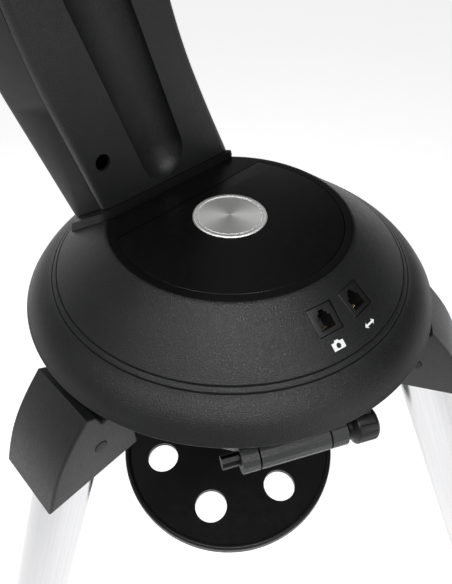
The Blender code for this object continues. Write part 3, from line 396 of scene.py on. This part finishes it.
def circuit_laminate(name):
    finish = Finish(name, 0.38)
    finish.colour(finish.cells(260), (0.010, 0.075, 0.030), (0.030, 0.200, 0.080), (0.35, 0.42))
    finish.roughness(finish.noise(300, 3), 0.30, 0.46)
    finish.bump(finish.cells(260), 0.04 * MM)
    return finish.material


FINISH = {
    "grain": grained_plastic("textured_black_plastic", (0.0075, 0.0078, 0.0082), (0.0105, 0.0108, 0.0112),
                             0.42, 1600, 0.13 * MM, specular=0.34),
    "satin": satin_plastic("satin_black_plastic", (0.0050, 0.0050, 0.0052), (0.0066, 0.0066, 0.0068), 0.38,
                           specular=0.32),
    # smooth: a smoother plastic whose colour is also painted darker, as painted shade on the flat top and the
    # battery lid
    "smooth": satin_plastic("smooth_black_plastic", (0.0022, 0.0022, 0.0024), (0.0030, 0.0030, 0.0032),
                            0.30, specular=0.30),
    "jack": satin_plastic("socket_plastic", (0.0045, 0.0045, 0.0048), (0.0065, 0.0065, 0.0068), 0.45),
    "spun": spun_metal("spun_aluminium"),
    "cast": grained_plastic("powder_coat", (0.016, 0.0165, 0.0175), (0.024, 0.025, 0.026), 0.50, 850,
                            0.08 * MM),
    "alloy": metal("machined_alloy", (0.545, 0.555, 0.565), (0.590, 0.600, 0.610), 0.36, scale=900),
    "steel": metal("ground_steel", (0.58, 0.58, 0.59), (0.62, 0.62, 0.63), 0.26, scale=2600, depth=0.004 * MM),
    "black_steel": metal("black_oxide_steel", (0.020, 0.020, 0.021), (0.030, 0.030, 0.031), 0.40),
    "brass": metal("machined_brass", (0.50, 0.36, 0.13), (0.68, 0.52, 0.24), 0.30),
    "gold": metal("contact_gold", (0.75, 0.55, 0.20), (0.86, 0.66, 0.30), 0.22),
    "rubber": grained_plastic("black_rubber", (0.014, 0.014, 0.014), (0.026, 0.026, 0.026), 0.82, 500,
                              0.10 * MM),
    "laminate": circuit_laminate("circuit_laminate"),
    "sleeve": satin_plastic("cell_sleeve", (0.030, 0.045, 0.070), (0.055, 0.080, 0.110), 0.30),
    "print": satin_plastic("white_print", (0.70, 0.71, 0.72), (0.80, 0.81, 0.82), 0.50),
}
for leg_number, leg_azimuth in LEGS.items():
    FINISH[f"steel_{leg_number}"] = brushed_tube(
        f"brushed_steel_{leg_number}", spin(radians(leg_azimuth)) @ spin(-LEG_LEAN, "Y"))
FINISH_OF_SLOT = {"textured_plastic": "grain", "satin_plastic": "satin", "jack_plastic": "jack",
                  "spun_aluminium": "spun", "cast_alloy": "cast", "bare_alloy": "alloy",
                  "steel": "steel", "blackened_steel": "black_steel", "brass": "brass", "rubber": "rubber",
                  "circuit_green": "laminate", "battery_sleeve": "sleeve"}


def dress_frame():
    """Every CAD node that stays in sight takes its slot's finish."""
    for part in frame["record"]["subparts"]:
        mesh = frame["nodes"][part["node"]].data
        mesh.materials.clear()
        mesh.materials.append(FINISH[FINISH_OF_SLOT[part["material_slot"]]])


# ---- base -------------------------------------------------------------------------------
def skirt(offset=0.0, steps=14):
    points = []
    for i in range(steps + 1):
        t = i / steps
        out = 1.8 * MM * sin(pi * t) + offset
        points.append((SKIRT_HEAD[0] + (RIM_RADIUS - SKIRT_HEAD[0]) * t + out * sin(SKIRT_SLOPE),
                       SKIRT_HEAD[1] * (1 - t) + out * cos(SKIRT_SLOPE)))
    return points


def cover_form(offset):
    """The base cover's outer form as a solid, swollen by offset."""
    rise = (offset * sin(CONE_SLOPE), offset * cos(CONE_SLOPE))
    return turned([(0, TOP_HEIGHT + offset), (TOP_RADIUS, TOP_HEIGHT + offset, 2 * MM),
                   (CONE_FOOT[0] + rise[0], CONE_FOOT[1] + rise[1])] + skirt(offset)
                  + [(RIM_RADIUS + offset, -0.03), (0, -0.03)], HEAD, 192)


def on_cone(azimuth, reach=JACK_REACH):
    """Frame on the cone: +Z outwards, +Y up the slope."""
    height = CONE_FOOT[1] + (CONE_FOOT[0] - reach) * tan(CONE_SLOPE)
    angle = radians(azimuth)
    return (HEAD @ shift(reach * cos(angle), reach * sin(angle), height)
            @ spin(angle + pi / 2) @ spin(CONE_SLOPE, "X"))


def on_skirt(azimuth):
    reach = (RIM_RADIUS + SKIRT_HEAD[0]) / 2 + 1.8 * MM * sin(SKIRT_SLOPE)
    height = SKIRT_HEAD[1] / 2 + 1.8 * MM * cos(SKIRT_SLOPE)
    angle = radians(azimuth)
    return (HEAD @ shift(reach * cos(angle), reach * sin(angle), height)
            @ spin(angle + pi / 2) @ spin(SKIRT_SLOPE, "X"))


def make_base_cover():
    along = Vector((cos(CONE_SLOPE), -sin(CONE_SLOPE)))
    into = Vector((-sin(CONE_SLOPE), -cos(CONE_SLOPE)))
    start = Vector(CONE_FOOT)

    def bead(step, depth, soft):
        return (*(start + along * step * MM + into * depth * MM), soft * MM)

    outside = [(0, TOP_HEIGHT), (TOP_RADIUS, TOP_HEIGHT, 2.2 * MM), (*CONE_FOOT, 0.3 * MM)]
    outside += [bead(0.45, 0.9, 0.2), bead(0.9, 0.0, 0.4), bead(3.9, 0.0, 0.4), bead(4.35, 0.9, 0.2),
                bead(4.8, 0.0, 0.3)]
    outside += skirt()[:-1] + [(RIM_RADIUS - 0.2 * MM, 0.6 * MM, 0.5 * MM), (RIM_RADIUS - 0.5 * MM, 0)]
    inside = [(RIM_RADIUS - COVER_WALL, 0), (SKIRT_HEAD[0] - 3.2 * MM, SKIRT_HEAD[1] - 3.2 * MM),
              (TOP_RADIUS - 1 * MM, TOP_HEIGHT - TOP_WALL), (0, TOP_HEIGHT - TOP_WALL)]
    cover = turned(outside + inside, HEAD, 192)
    ledge_depth = 2.5 * MM
    ledge = rod(LID_RADIUS + GAP, -ledge_depth, ledge_depth, HEAD @ shift(z=TOP_HEIGHT), 192)
    carve(ledge, block((0.08, 0.2, 0.02), HEAD @ shift(LID_CHORD_X - GAP - 0.04, 0, TOP_HEIGHT)))
    tools = [ledge, block((0.063, 0.106, 0.03), HEAD @ shift(0.012, 0, TOP_HEIGHT)),
             block((0.0275, 0.100, 0.05), HEAD @ shift(-0.07275, 0, TOP_HEIGHT))]
    window = JACK_FRAME + 2 * GAP
    tools += [block((window, window, 0.030), on_cone(azimuth), 0.5 * MM) for azimuth in JACKS.values()]
    tools.append(block((0.0152, 0.0107, 0.03), on_skirt(173)))
    tools.append(rod(5.8 * MM, -0.015, 0.015, on_skirt(187), 48))
    carve(cover, *tools)
    dress(cover, "base_cover_surface", "head", "grain", "textured_plastic", "dome_cover")
    # The flat top faces take the darker smooth finish: a smoother plastic with painted shade on the top
    cover.data.materials.append(FINISH["smooth"])
    for face in cover.data.polygons:
        reach = (face.center.xy - AXIS.xy).length
        if reach < TOP_RADIUS - 0.5 * MM and face.center.z > AXIS.z + TOP_HEIGHT - 3 * MM:
            face.material_index = 1


def make_battery_cover():
    thickness = 2.2 * MM
    lid = prism(arc((0, 0), LID_RADIUS, -116.2, 116.2, 150), TOP_HEIGHT - thickness, TOP_HEIGHT, HEAD,
                soft_high=0.4 * MM, segments=3)
    carve(lid, rod(0.0249, -1 * MM, 1 * MM, HEAD @ shift(z=TOP_HEIGHT), 128))
    # The lid takes the smooth finish, its colour painted darker as shade
    dress(lid, "battery_lid_surface", "battery_lid", "smooth", "satin_plastic", "battery_cover")

    low = TOP_HEIGHT - 0.7 * MM
    high = TOP_HEIGHT + 0.7 * MM
    badge = turned([(0, high - 0.35 * MM), (0.0208, high - 0.35 * MM, 0.1 * MM),
                    (0.0210, high - 0.8 * MM, 0.1 * MM), (0.0216, high - 0.8 * MM, 0.1 * MM),
                    (0.0219, high, 0.25 * MM), (0.0240, high, 0.6 * MM), (0.0246, high - 0.7 * MM, 0.2 * MM),
                    (0.0246, low), (0, low)], HEAD, 192)
    dress(badge, "spun_badge", "battery_lid", "spun", "spun_aluminium", "badge_disc")


def make_jacks():
    depth = 0.0135
    for name, azimuth in JACKS.items():
        seat = on_cone(azimuth)
        body = block((JACK_FRAME, JACK_FRAME, depth), seat @ shift(z=-0.5 * MM - depth / 2), 0.4 * MM)
        carve(body, block((9.7 * MM, 7.4 * MM, 0.024), seat @ shift(y=-1.9 * MM)),
              block((6.4 * MM, 2.2 * MM, 0.022), seat @ shift(y=2.8 * MM)),
              block((3.6 * MM, 2.2 * MM, 0.020), seat @ shift(y=4.6 * MM)))
        dress(body, name + "_surface", "head", "jack", "jack_plastic", name)
        pins = None
        for pin in range(6):
            wire = block((0.32 * MM, 2.4 * MM, 0.3 * MM),
                         seat @ shift((pin - 2.5) * 1.02 * MM, -3.9 * MM, -7.2 * MM)
                         @ spin(radians(-32), "X"), 0.08 * MM)
            pins = carve(pins, wire, operation="UNION") if pins else wire
        dress(pins, name + "_contacts", "head", "gold", "brass")

    barrel = turned([(2.9 * MM, 0.5 * MM, 0.3 * MM), (5.5 * MM, 0.5 * MM, 0.5 * MM), (5.5 * MM, -12.5 * MM),
                     (2.9 * MM, -12.5 * MM)], on_skirt(187), 64, ring=True)
    floor = rod(2.9 * MM, -12.5 * MM, -10.5 * MM, on_skirt(187), 64)
    carve(barrel, floor, operation="UNION")
    dress(barrel, "power_socket_surface", "head", "jack", "jack_plastic", "power_jack")
    dress(rod(0.9 * MM, -10.5 * MM, -1.5 * MM, on_skirt(187), 32, 0.3 * MM), "power_socket_pin", "head",
          "steel", "steel")


def make_pictograms():
    """A plain camera sign and a plain two-way arrow printed below the sockets."""
    lift = 0.04 * MM
    seat = on_cone(JACKS["camera_jack"], 0.1095)
    body = prism([(-4 * MM, -2.5 * MM), (4 * MM, -2.5 * MM), (4 * MM, 2 * MM), (1.6 * MM, 2 * MM),
                  (0.9 * MM, 3.1 * MM), (-1.3 * MM, 3.1 * MM), (-2 * MM, 2 * MM), (-4 * MM, 2 * MM)],
                 0, lift, seat)
    carve(body, rod(1.5 * MM, -1 * MM, 1 * MM, seat @ shift(y=-0.25 * MM), 48))
    dress(body, "camera_sign", "head", "print", "satin_plastic")
    seat = on_cone(JACKS["aux_jack"] - 1.5, 0.1100)
    arrow = [(-4.4 * MM, 0), (-2.2 * MM, -1.8 * MM), (-2.2 * MM, -0.6 * MM), (2.2 * MM, -0.6 * MM),
             (2.2 * MM, -1.8 * MM), (4.4 * MM, 0), (2.2 * MM, 1.8 * MM), (2.2 * MM, 0.6 * MM),
             (-2.2 * MM, 0.6 * MM), (-2.2 * MM, 1.8 * MM)]
    dress(prism(arrow, 0, lift, seat), "two_way_sign", "head", "print", "satin_plastic")


# ---- arm --------------------------------------------------------------------------------
def arm_outline(flare=0.0):
    foot = [(-0.0503 - flare, 0.020), (0.0715, 0.020), (0.0575, 0.048)]
    right = [(0.036, 0.092, 0.02), (0.018, 0.133, 0.02), (0.0065, 0.172, 0.018), (0.0025, 0.210, 0.018)]
    head = arc((ALTITUDE_YZ[0] - flare / 2, ALTITUDE_YZ[1]), HEAD_RADIUS + flare / 2, -14, 194, 72)
    left = [(-0.0868 - flare, 0.210, 0.015), (-0.0845 - flare, 0.176, 0.018),
            (-0.0785 - flare, 0.133, 0.02)]
    return filleted(foot + right + head + left, closed=True, steps=6)


def flared_hollow(x):
    share = (ARM_SEAM_X - x) / (ARM_SEAM_X - ARM_OUTER_X)
    return inset(arm_outline(ARM_FLARE * share), ARM_WALL)


def scoop_form(grow):
    """The cradle's long scoop: a flattened capsule lying in the arm's inner face."""
    low, high = Vector((-0.007, 0.0705)), Vector((-0.040, 0.172))
    run = (high - low).length
    radius = 0.0175 + grow
    profile = [(0, run / 2 + radius)]
    profile += [(radius * cos(radians(a)), run / 2 + radius * sin(radians(a))) for a in range(84, -1, -6)]
    profile += [(r, -z) for r, z in reversed(profile)]
    middle = (low + high) / 2
    lean = atan2(low.x - high.x, high.y - low.y)
    flatten = Matrix.Diagonal(((0.0125 + grow) / radius, 1, 1, 1))
    return turned(profile, HEAD @ shift(ARM_INNER_X, middle.x, middle.y) @ spin(lean, "X") @ flatten, 96)


def make_arm():
    outline = arm_outline()
    hollow = inset(outline, ARM_WALL)
    yz = HEAD @ FACE_YZ
    axis_x = HEAD @ shift(ARM_INNER_X, *ALTITUDE_YZ) @ ALONG_X
    seat_gap = GAP + COLLAR_HEIGHT + GAP

    inner = prism(outline, ARM_SEAM_X + GAP, ARM_INNER_X, yz, 0.5 * MM, 4.5 * MM)
    carve(inner, prism(hollow, ARM_SEAM_X - 0.01, ARM_INNER_X - ARM_WALL, yz))
    pocket = scoop_form(2.2 * MM)
    carve(pocket, block((0.04, 0.3, 0.5), HEAD @ shift(ARM_INNER_X - 1 * MM + 0.02, 0, 0.2)))
    carve(inner, pocket, operation="UNION")
    port = rod(5.2 * MM, -0.01, 0.01, HEAD @ shift(ARM_INNER_X, -0.0525, 0.0814) @ ALONG_X, 64)
    carve(inner, scoop_form(0), port, rod(0.0135, -0.015, 0.015, axis_x, 96), cover_form(seat_gap))
    dress(inner, "arm_inner_face", "head", "grain", "textured_plastic", "arm_inner_shell")

    outer = lofted(outline, arm_outline(ARM_FLARE), ARM_SEAM_X, ARM_OUTER_X, HEAD, 0.6 * MM, 6 * MM)
    cap_radius = 0.030
    cap_place = HEAD @ shift(ARM_OUTER_X - GAP, *ALTITUDE_YZ) @ ALONG_MINUS_X
    carve(outer, lofted(flared_hollow(ARM_SEAM_X + 0.01), flared_hollow(ARM_OUTER_X + ARM_WALL),
                        ARM_SEAM_X + 0.01, ARM_OUTER_X + ARM_WALL, HEAD),
          rod(cap_radius - 4 * MM, -0.01, 0.01, cap_place, 96), cover_form(seat_gap))
    dress(outer, "arm_outer_face", "head", "satin", "satin_plastic", "arm_outer_shell")
    top = 2.2 * MM
    cap = turned([(0, top), (cap_radius, top, 1.6 * MM), (cap_radius, 0), (cap_radius - 4.5 * MM, 0),
                  (cap_radius - 4.5 * MM, -4 * MM), (0, -4 * MM)], cap_place)
    dress(cap, "altitude_cap_surface", "head", "satin", "satin_plastic", "altitude_cap")


def make_collar():
    """A low band with a rounded top, built from four levels that follow the cover's form."""
    inner_x, outer_x = ARM_INNER_X + COLLAR_PROUD, ARM_OUTER_X - COLLAR_PROUD
    soft = 3 * MM
    plan = [(outer_x, -0.0650, soft), (outer_x + 6 * MM, -0.0705, soft), (inner_x - 4 * MM, -0.0610, soft),
            (inner_x, -0.0570, soft), (inner_x, 0.0575, soft), (inner_x - 4 * MM, 0.0615, soft),
            (outer_x + 6 * MM, 0.0690, soft), (outer_x, 0.0640, soft)]
    plan = filleted(plan, closed=True)
    band = None
    for share, step in ((0.50, 0.0), (0.78, 0.35 * MM), (0.93, 0.9 * MM), (1.0, 1.8 * MM)):
        level = prism(inset(plan, step), 0.005, 0.065, HEAD)
        carve(level, cover_form(GAP + COLLAR_HEIGHT * share), operation="INTERSECT")
        band = carve(band, level, operation="UNION") if band else level
    carve(band, cover_form(GAP), block((0.0285, 0.101, 0.09), HEAD @ shift(-0.07275, 0, TOP_HEIGHT)))
    dress(band, "arm_foot_collar_surface", "head", "satin", "satin_plastic", "arm_foot_collar", sharp=50)


# ---- wedge, legs, tray ------------------------------------------------------------------
def make_wedge():
    pan = turned([(0, -0.0080), (0.029, -0.0080), (0.029, -0.0130), (0.1215, -0.0130), (0.1225, -0.0030),
                  (0.1265, -0.0030, 0.4 * MM), (0.1275, -0.0045, 0.8 * MM), (0.1265, -0.0150, 1.2 * MM),
                  (0.1245, -0.0174, 0.8 * MM), (0, -0.0174)], HEAD, 192)
    carve(pan, rod(5.3 * MM, -0.04, 0.01, HEAD, 48))
    dress(pan, "base_pan_surface", "wedge", "satin", "satin_plastic", "base_pan")
    tip = HEAD @ spin(radians(-30)) @ shift(0.1265, 0, -0.030) @ FACE_XZ
    start = 0.0335
    knob = turned([(0.0043, -start), (0.0065, -start, 0.5 * MM), (0.0075, -start - 2.5 * MM, 0.8 * MM),
                   (0.0105, -start - 4.5 * MM, 0.8 * MM), (0.0105, -start - 16.5 * MM, 1 * MM),
                   (0.0085, -start - 18.5 * MM, 0.8 * MM), (0.0043, -start - 18.5 * MM)], tip, 96, ring=True)
    for rib in range(12):
        angle = 2 * pi * rib / 12
        carve(knob, rod(1.1 * MM, -start - 15.5 * MM, -start - 6 * MM, tip @ shift(0.0112 * cos(angle), 0.0112 * sin(angle)),
                        16, 0.4 * MM))
    dress(knob, "wedge_knob_surface", "wedge_knob", "satin", "satin_plastic", "wedge_clamp_knob")


def make_tray():
    level = -0.262
    floor, base = level + 2.5 * MM, level - 2.5 * MM
    tray = turned([(0, floor), (0.1085, floor, 1 * MM), (0.1100, level + 8 * MM, 1 * MM),
                   (0.1125, level + 8 * MM, 1.2 * MM), (0.1140, level + 6.5 * MM, 1 * MM),
                   (0.1140, base + 1.2 * MM, 1 * MM), (0.1128, base, 0.8 * MM), (0, base)], HEAD, 160)
    for index in range(6):
        angle = 2 * pi * index / 6
        carve(tray, rod(0.0162, -0.03, 0.03, HEAD @ shift(0.074 * cos(angle), 0.074 * sin(angle), level), 96))
    carve(tray, rod(5.3 * MM, -0.03, 0.03, HEAD @ shift(z=level), 48))
    dress(tray, "tray_surface", "tray", "satin", "satin_plastic", "accessory_tray")
    top = base - GAP
    knob = turned([(5.3 * MM, top), (0.012, top, 1 * MM), (0.019, top - 0.006, 2 * MM),
                   (0.019, top - 0.018, 2 * MM), (0.016, top - 0.021, 1.5 * MM), (5.3 * MM, top - 0.021)],
                  HEAD, 96, ring=True)
    for flute in range(5):
        angle = 2 * pi * flute / 5
        carve(knob, rod(6 * MM, top - 0.04, top + 0.01,
                        HEAD @ shift(0.0225 * cos(angle), 0.0225 * sin(angle)), 48))
    dress(knob, "tray_knob_surface", "tray_nut", "satin", "satin_plastic", "tray_knob")
    dress(rod(5 * MM, -0.300, -0.040, HEAD, 48, 0.6 * MM), "centre_rod_surface", "tripod", "steel",
          "steel", "centre_rod")


def housing_outline():
    low = HUB_BOTTOM - 2 * MM
    hump = []
    for i in range(25):
        t = i / 24
        bulge = 4.5 * MM * sin(pi * t)
        hump.append((0.181 - 0.040 * t + bulge * 0.82, low + 0.058 * t + bulge * 0.57))
    foot = HUB_APOTHEM + 1.6 * MM
    return [(foot, low)] + hump + [(0.1355, -0.0115), (0.1330, -0.0200), (foot, -0.0200)]


def make_leg(number, azimuth):
    side = HEAD @ spin(radians(azimuth))
    outline = housing_outline()
    half, inside = HOUSING_WIDTH / 2, HOUSING_WIDTH - 2 * HOUSING_WALL
    housing = prism(outline, -half, half, side @ FACE_XZ, 1.8 * MM, 1.8 * MM)
    mouth_place = side @ shift(HUB_APOTHEM + 4.6 * MM + 0.0555 / 2, 0, HUB_BOTTOM - 2 * MM)
    pin_place = side @ shift(PIVOT_REACH, 0, -PIVOT_DROP) @ FACE_XZ
    carve(housing, prism(inset(outline, HOUSING_WALL), -inside / 2, inside / 2, side @ FACE_XZ),
          block((0.0555, inside, 0.03), mouth_place), rod(4.3 * MM, -0.04, 0.04, pin_place, 48))
    dress(housing, f"leg_housing_{number}_surface", "tripod", "grain", "textured_plastic",
          f"leg_housing_{number}")
    dress(rod(4 * MM, -half - 0.3 * MM, half + 0.3 * MM, pin_place, 48, 0.5 * MM),
          f"leg_pin_{number}_surface", "tripod", "black_steel", "blackened_steel", f"leg_pivot_pin_{number}")

    leg = side @ shift(PIVOT_REACH, 0, -PIVOT_DROP) @ spin(-LEG_LEAN, "Y")
    top, bottom = 0.006, -0.394
    tube = turned([(0.0174, top, 0.4 * MM), (0.019, top, 0.5 * MM), (0.019, bottom, 0.5 * MM),
                   (0.0174, bottom, 0.4 * MM)], leg, 96, ring=True)
    carve(tube, rod(4.3 * MM, -0.03, 0.03, leg @ FACE_XZ, 48))
    dress(tube, f"upper_tube_{number}_surface", f"leg_{number}", f"steel_{number}", "steel", f"upper_tube_{number}")

    low, high = bottom - 0.022, bottom + 0.026
    stud = leg @ shift(z=low + 0.012) @ ALONG_X
    clamp = turned([(0.0193, high), (0.0225, high, 0.6 * MM), (0.0245, high - 2 * MM, 1 * MM),
                    (0.0245, low + 2 * MM, 1 * MM), (0.0225, low, 0.6 * MM), (0.0165, low),
                    (0.0165, bottom - GAP), (0.0193, bottom - GAP)], leg, 96, ring=True)
    carve(clamp, rod(0.0085, 0.0185, 0.0345, stud, 64, 0.8 * MM), operation="UNION")
    carve(clamp, rod(3.3 * MM, 0.0175, 0.0475, stud, 32), rod(0.0165, low - 0.1, low + 0.1, leg, 96))
    dress(clamp, f"leg_clamp_{number}_surface", f"leg_{number}", "satin", "satin_plastic",
          f"leg_clamp_{number}")
    knob = turned([(0, 0.052), (0.009, 0.052, 1 * MM), (0.011, 0.050, 1 * MM), (0.011, 0.039, 1.2 * MM),
                   (0.007, 0.0355, 0.8 * MM), (3 * MM, 0.0355), (3 * MM, 0.0185), (0, 0.0185)], stud, 96)
    for flute in range(4):
        angle = radians(45) + 2 * pi * flute / 4
        carve(knob, rod(4 * MM, 0.032, 0.062, stud @ shift(0.0135 * cos(angle), 0.0135 * sin(angle)), 48))
    dress(knob, f"leg_knob_{number}_surface", f"leg_knob_{number}", "satin", "satin_plastic",
          f"leg_clamp_knob_{number}")

    end = -LEG_LENGTH + 0.016
    lower = turned([(0.0146, -0.060, 0.3 * MM), (0.0162, -0.060, 0.4 * MM), (0.0162, end), (0.0146, end)],
                   leg, 96, ring=True)
    dress(lower, f"lower_tube_{number}_surface", f"lower_leg_{number}", f"steel_{number}", "steel",
          f"lower_tube_{number}")
    pad = rod(0.020, -6 * MM, 6 * MM, leg @ shift(z=-LEG_LENGTH) @ spin(LEG_LEAN, "Y"), 96, 1.5 * MM)
    boot = rod(0.0188, end - 0.014, end + 0.022, leg, 96, 1.5 * MM)
    carve(pad, boot, operation="UNION")
    floor_low, floor_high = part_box(f"foot_{number}")
    middle = (floor_low + floor_high) / 2
    carve(pad, rod(0.0165, end - GAP, end + 0.06, leg, 96),
          block((0.2, 0.2, 0.04), shift(middle.x, middle.y, -0.02)))
    dress(pad, f"foot_{number}_surface", f"lower_leg_{number}", "rubber", "rubber", f"foot_{number}")


# ---- saddle -----------------------------------------------------------------------------
def make_saddle_trim():
    back = ARM_INNER_X + 1.5 * MM + 8 * MM + GAP
    screw_x = back + 9 * MM + 5.5 * MM
    place = HEAD @ shift(screw_x, *ALTITUDE_YZ)
    stud_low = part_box("saddle_knob")[0].z - AXIS.z - ALTITUDE_YZ[1]
    knob = turned([(0, 0.078), (0.010, 0.078, 1.2 * MM), (0.0125, 0.075, 1.2 * MM), (0.0125, 0.059, 1.5 * MM),
                   (0.009, 0.0565, 1 * MM), (0.006, 0.0525, 0.6 * MM), (3 * MM, 0.0525),
                   (3 * MM, stud_low), (0, stud_low)], place, 96)
    for flute in range(6):
        angle = 2 * pi * flute / 6
        carve(knob, rod(3.4 * MM, 0.053, 0.083, place @ shift(0.0148 * cos(angle), 0.0148 * sin(angle)), 48))
    dress(knob, "saddle_knob_surface", "jaw_knob", "satin", "satin_plastic", "saddle_knob")


# ---- studio -----------------------------------------------------------------------------
def area_light(name, place, target, size, power):
    lamp = bpy.data.lights.new(name, "AREA")
    lamp.shape = "RECTANGLE"
    lamp.size, lamp.size_y = size
    lamp.energy = power
    obj = bpy.data.objects.new(name, lamp)
    bpy.context.scene.collection.objects.link(obj)
    obj.location = place
    obj.rotation_euler = (Vector(target) - Vector(place)).to_track_quat("-Z", "Y").to_euler()
    return obj


def make_studio():
    bm = bmesh.new()
    bmesh.ops.create_grid(bm, x_segments=8, y_segments=8, size=9)
    floor = solid(bm, Matrix.Identity(4))
    floor.name = "studio_floor"
    pale = Finish("pale_floor", 0.8)
    pale.colour(pale.noise(6, 3), (0.88, 0.88, 0.88), (0.91, 0.91, 0.91))
    pale.shader.inputs["Emission Color"].default_value = (1, 1, 1, 1)
    pale.shader.inputs["Emission Strength"].default_value = 0.72
    floor.data.materials.append(pale.material)
    make_sky()
    top = AXIS + Vector((0, 0, TOP_HEIGHT))
    area_light("key_softbox", AXIS + Vector((0.74, -0.27, 1.3)), top, (0.40, 0.40), 12)
    area_light("fill_softbox", AXIS + Vector((0.04, -0.82, 1.3)), top, (0.5, 0.5), 8)
    area_light("side_softbox", AXIS + Vector((-1.5, 0.1, 0.5)), top, (0.7, 1.2), 1.0)
    area_light("cradle_softbox", AXIS + Vector((1.3, 0.05, 0.25)), top, (0.5, 0.6), 3)


def make_sky():
    """Light from a room that is bright low down, with a dark screen on the sockets' side.

    The camera itself sees a plain white background in its place.
    """
    world = bpy.data.worlds.new("studio")
    bpy.context.scene.world = world
    world.use_nodes = True
    nodes, links = world.node_tree.nodes, world.node_tree.links
    direction = nodes.new("ShaderNodeTexCoord").outputs["Generated"]
    height = nodes.new("ShaderNodeSeparateXYZ")
    links.new(direction, height.inputs["Vector"])
    sky = nodes.new("ShaderNodeValToRGB")
    links.new(height.outputs["Z"], sky.inputs["Fac"])
    stops = sky.color_ramp.elements
    stops[0].position, stops[0].color = 0.0, (0.60, 0.60, 0.60, 1)
    stops[1].position, stops[1].color = 1.0, (0.25, 0.25, 0.25, 1)
    for at, level in ((0.15, 0.25), (0.60, 0.17), (0.78, 0.20)):
        stop = stops.new(at)
        stop.color = (level, level, level, 1)
    towards = nodes.new("ShaderNodeVectorMath")
    towards.operation = "DOT_PRODUCT"
    towards.inputs[1].default_value = (0.36, 0.90, 0.25)
    links.new(direction, towards.inputs[0])
    screen = nodes.new("ShaderNodeMapRange")
    for name, value in (("From Min", 0.45), ("From Max", 0.85), ("To Min", 1.0), ("To Max", 0.06)):
        screen.inputs[name].default_value = value
    links.new(towards.outputs["Value"], screen.inputs["Value"])
    shaded = nodes.new("ShaderNodeVectorMath")
    shaded.operation = "SCALE"
    links.new(sky.outputs["Color"], shaded.inputs[0])
    links.new(screen.outputs["Result"], shaded.inputs["Scale"])
    links.new(shaded.outputs["Vector"], nodes["Background"].inputs["Color"])
    backdrop = nodes.new("ShaderNodeBackground")
    backdrop.inputs["Color"].default_value = (1, 1, 1, 1)
    choice = nodes.new("ShaderNodeMixShader")
    links.new(nodes.new("ShaderNodeLightPath").outputs["Is Camera Ray"], choice.inputs["Fac"])
    links.new(nodes["Background"].outputs["Background"], choice.inputs[1])
    links.new(backdrop.outputs["Background"], choice.inputs[2])
    links.new(choice.outputs["Shader"], nodes["World Output"].inputs["Surface"])


def make_camera():
    camera = bpy.data.cameras.new("camera")
    camera.lens = 27.64
    camera.sensor_width = 36
    camera.clip_start = 0.01
    obj = bpy.data.objects.new("camera", camera)
    bpy.context.scene.collection.objects.link(obj)
    forward = Vector((-0.49257, 0.51756, -0.69965)).normalized()
    right = Vector((0.72357, 0.69025, 0.00119))
    right = (right - forward * right.dot(forward)).normalized()
    up = right.cross(forward)
    turn = Matrix((right, up, -forward)).transposed().to_4x4()
    obj.matrix_world = Matrix.Translation(AXIS + Vector((0.16738, -0.17950, 0.21366))) @ turn
    bpy.context.scene.camera = obj
    bpy.context.scene.view_settings.view_transform = "Standard"


make_camera()
dress_frame()
make_base_cover()
make_battery_cover()
make_jacks()
make_pictograms()
make_arm()
make_collar()
make_wedge()
make_tray()
for leg_number, leg_azimuth in LEGS.items():
    make_leg(leg_number, leg_azimuth)
make_saddle_trim()
make_studio()
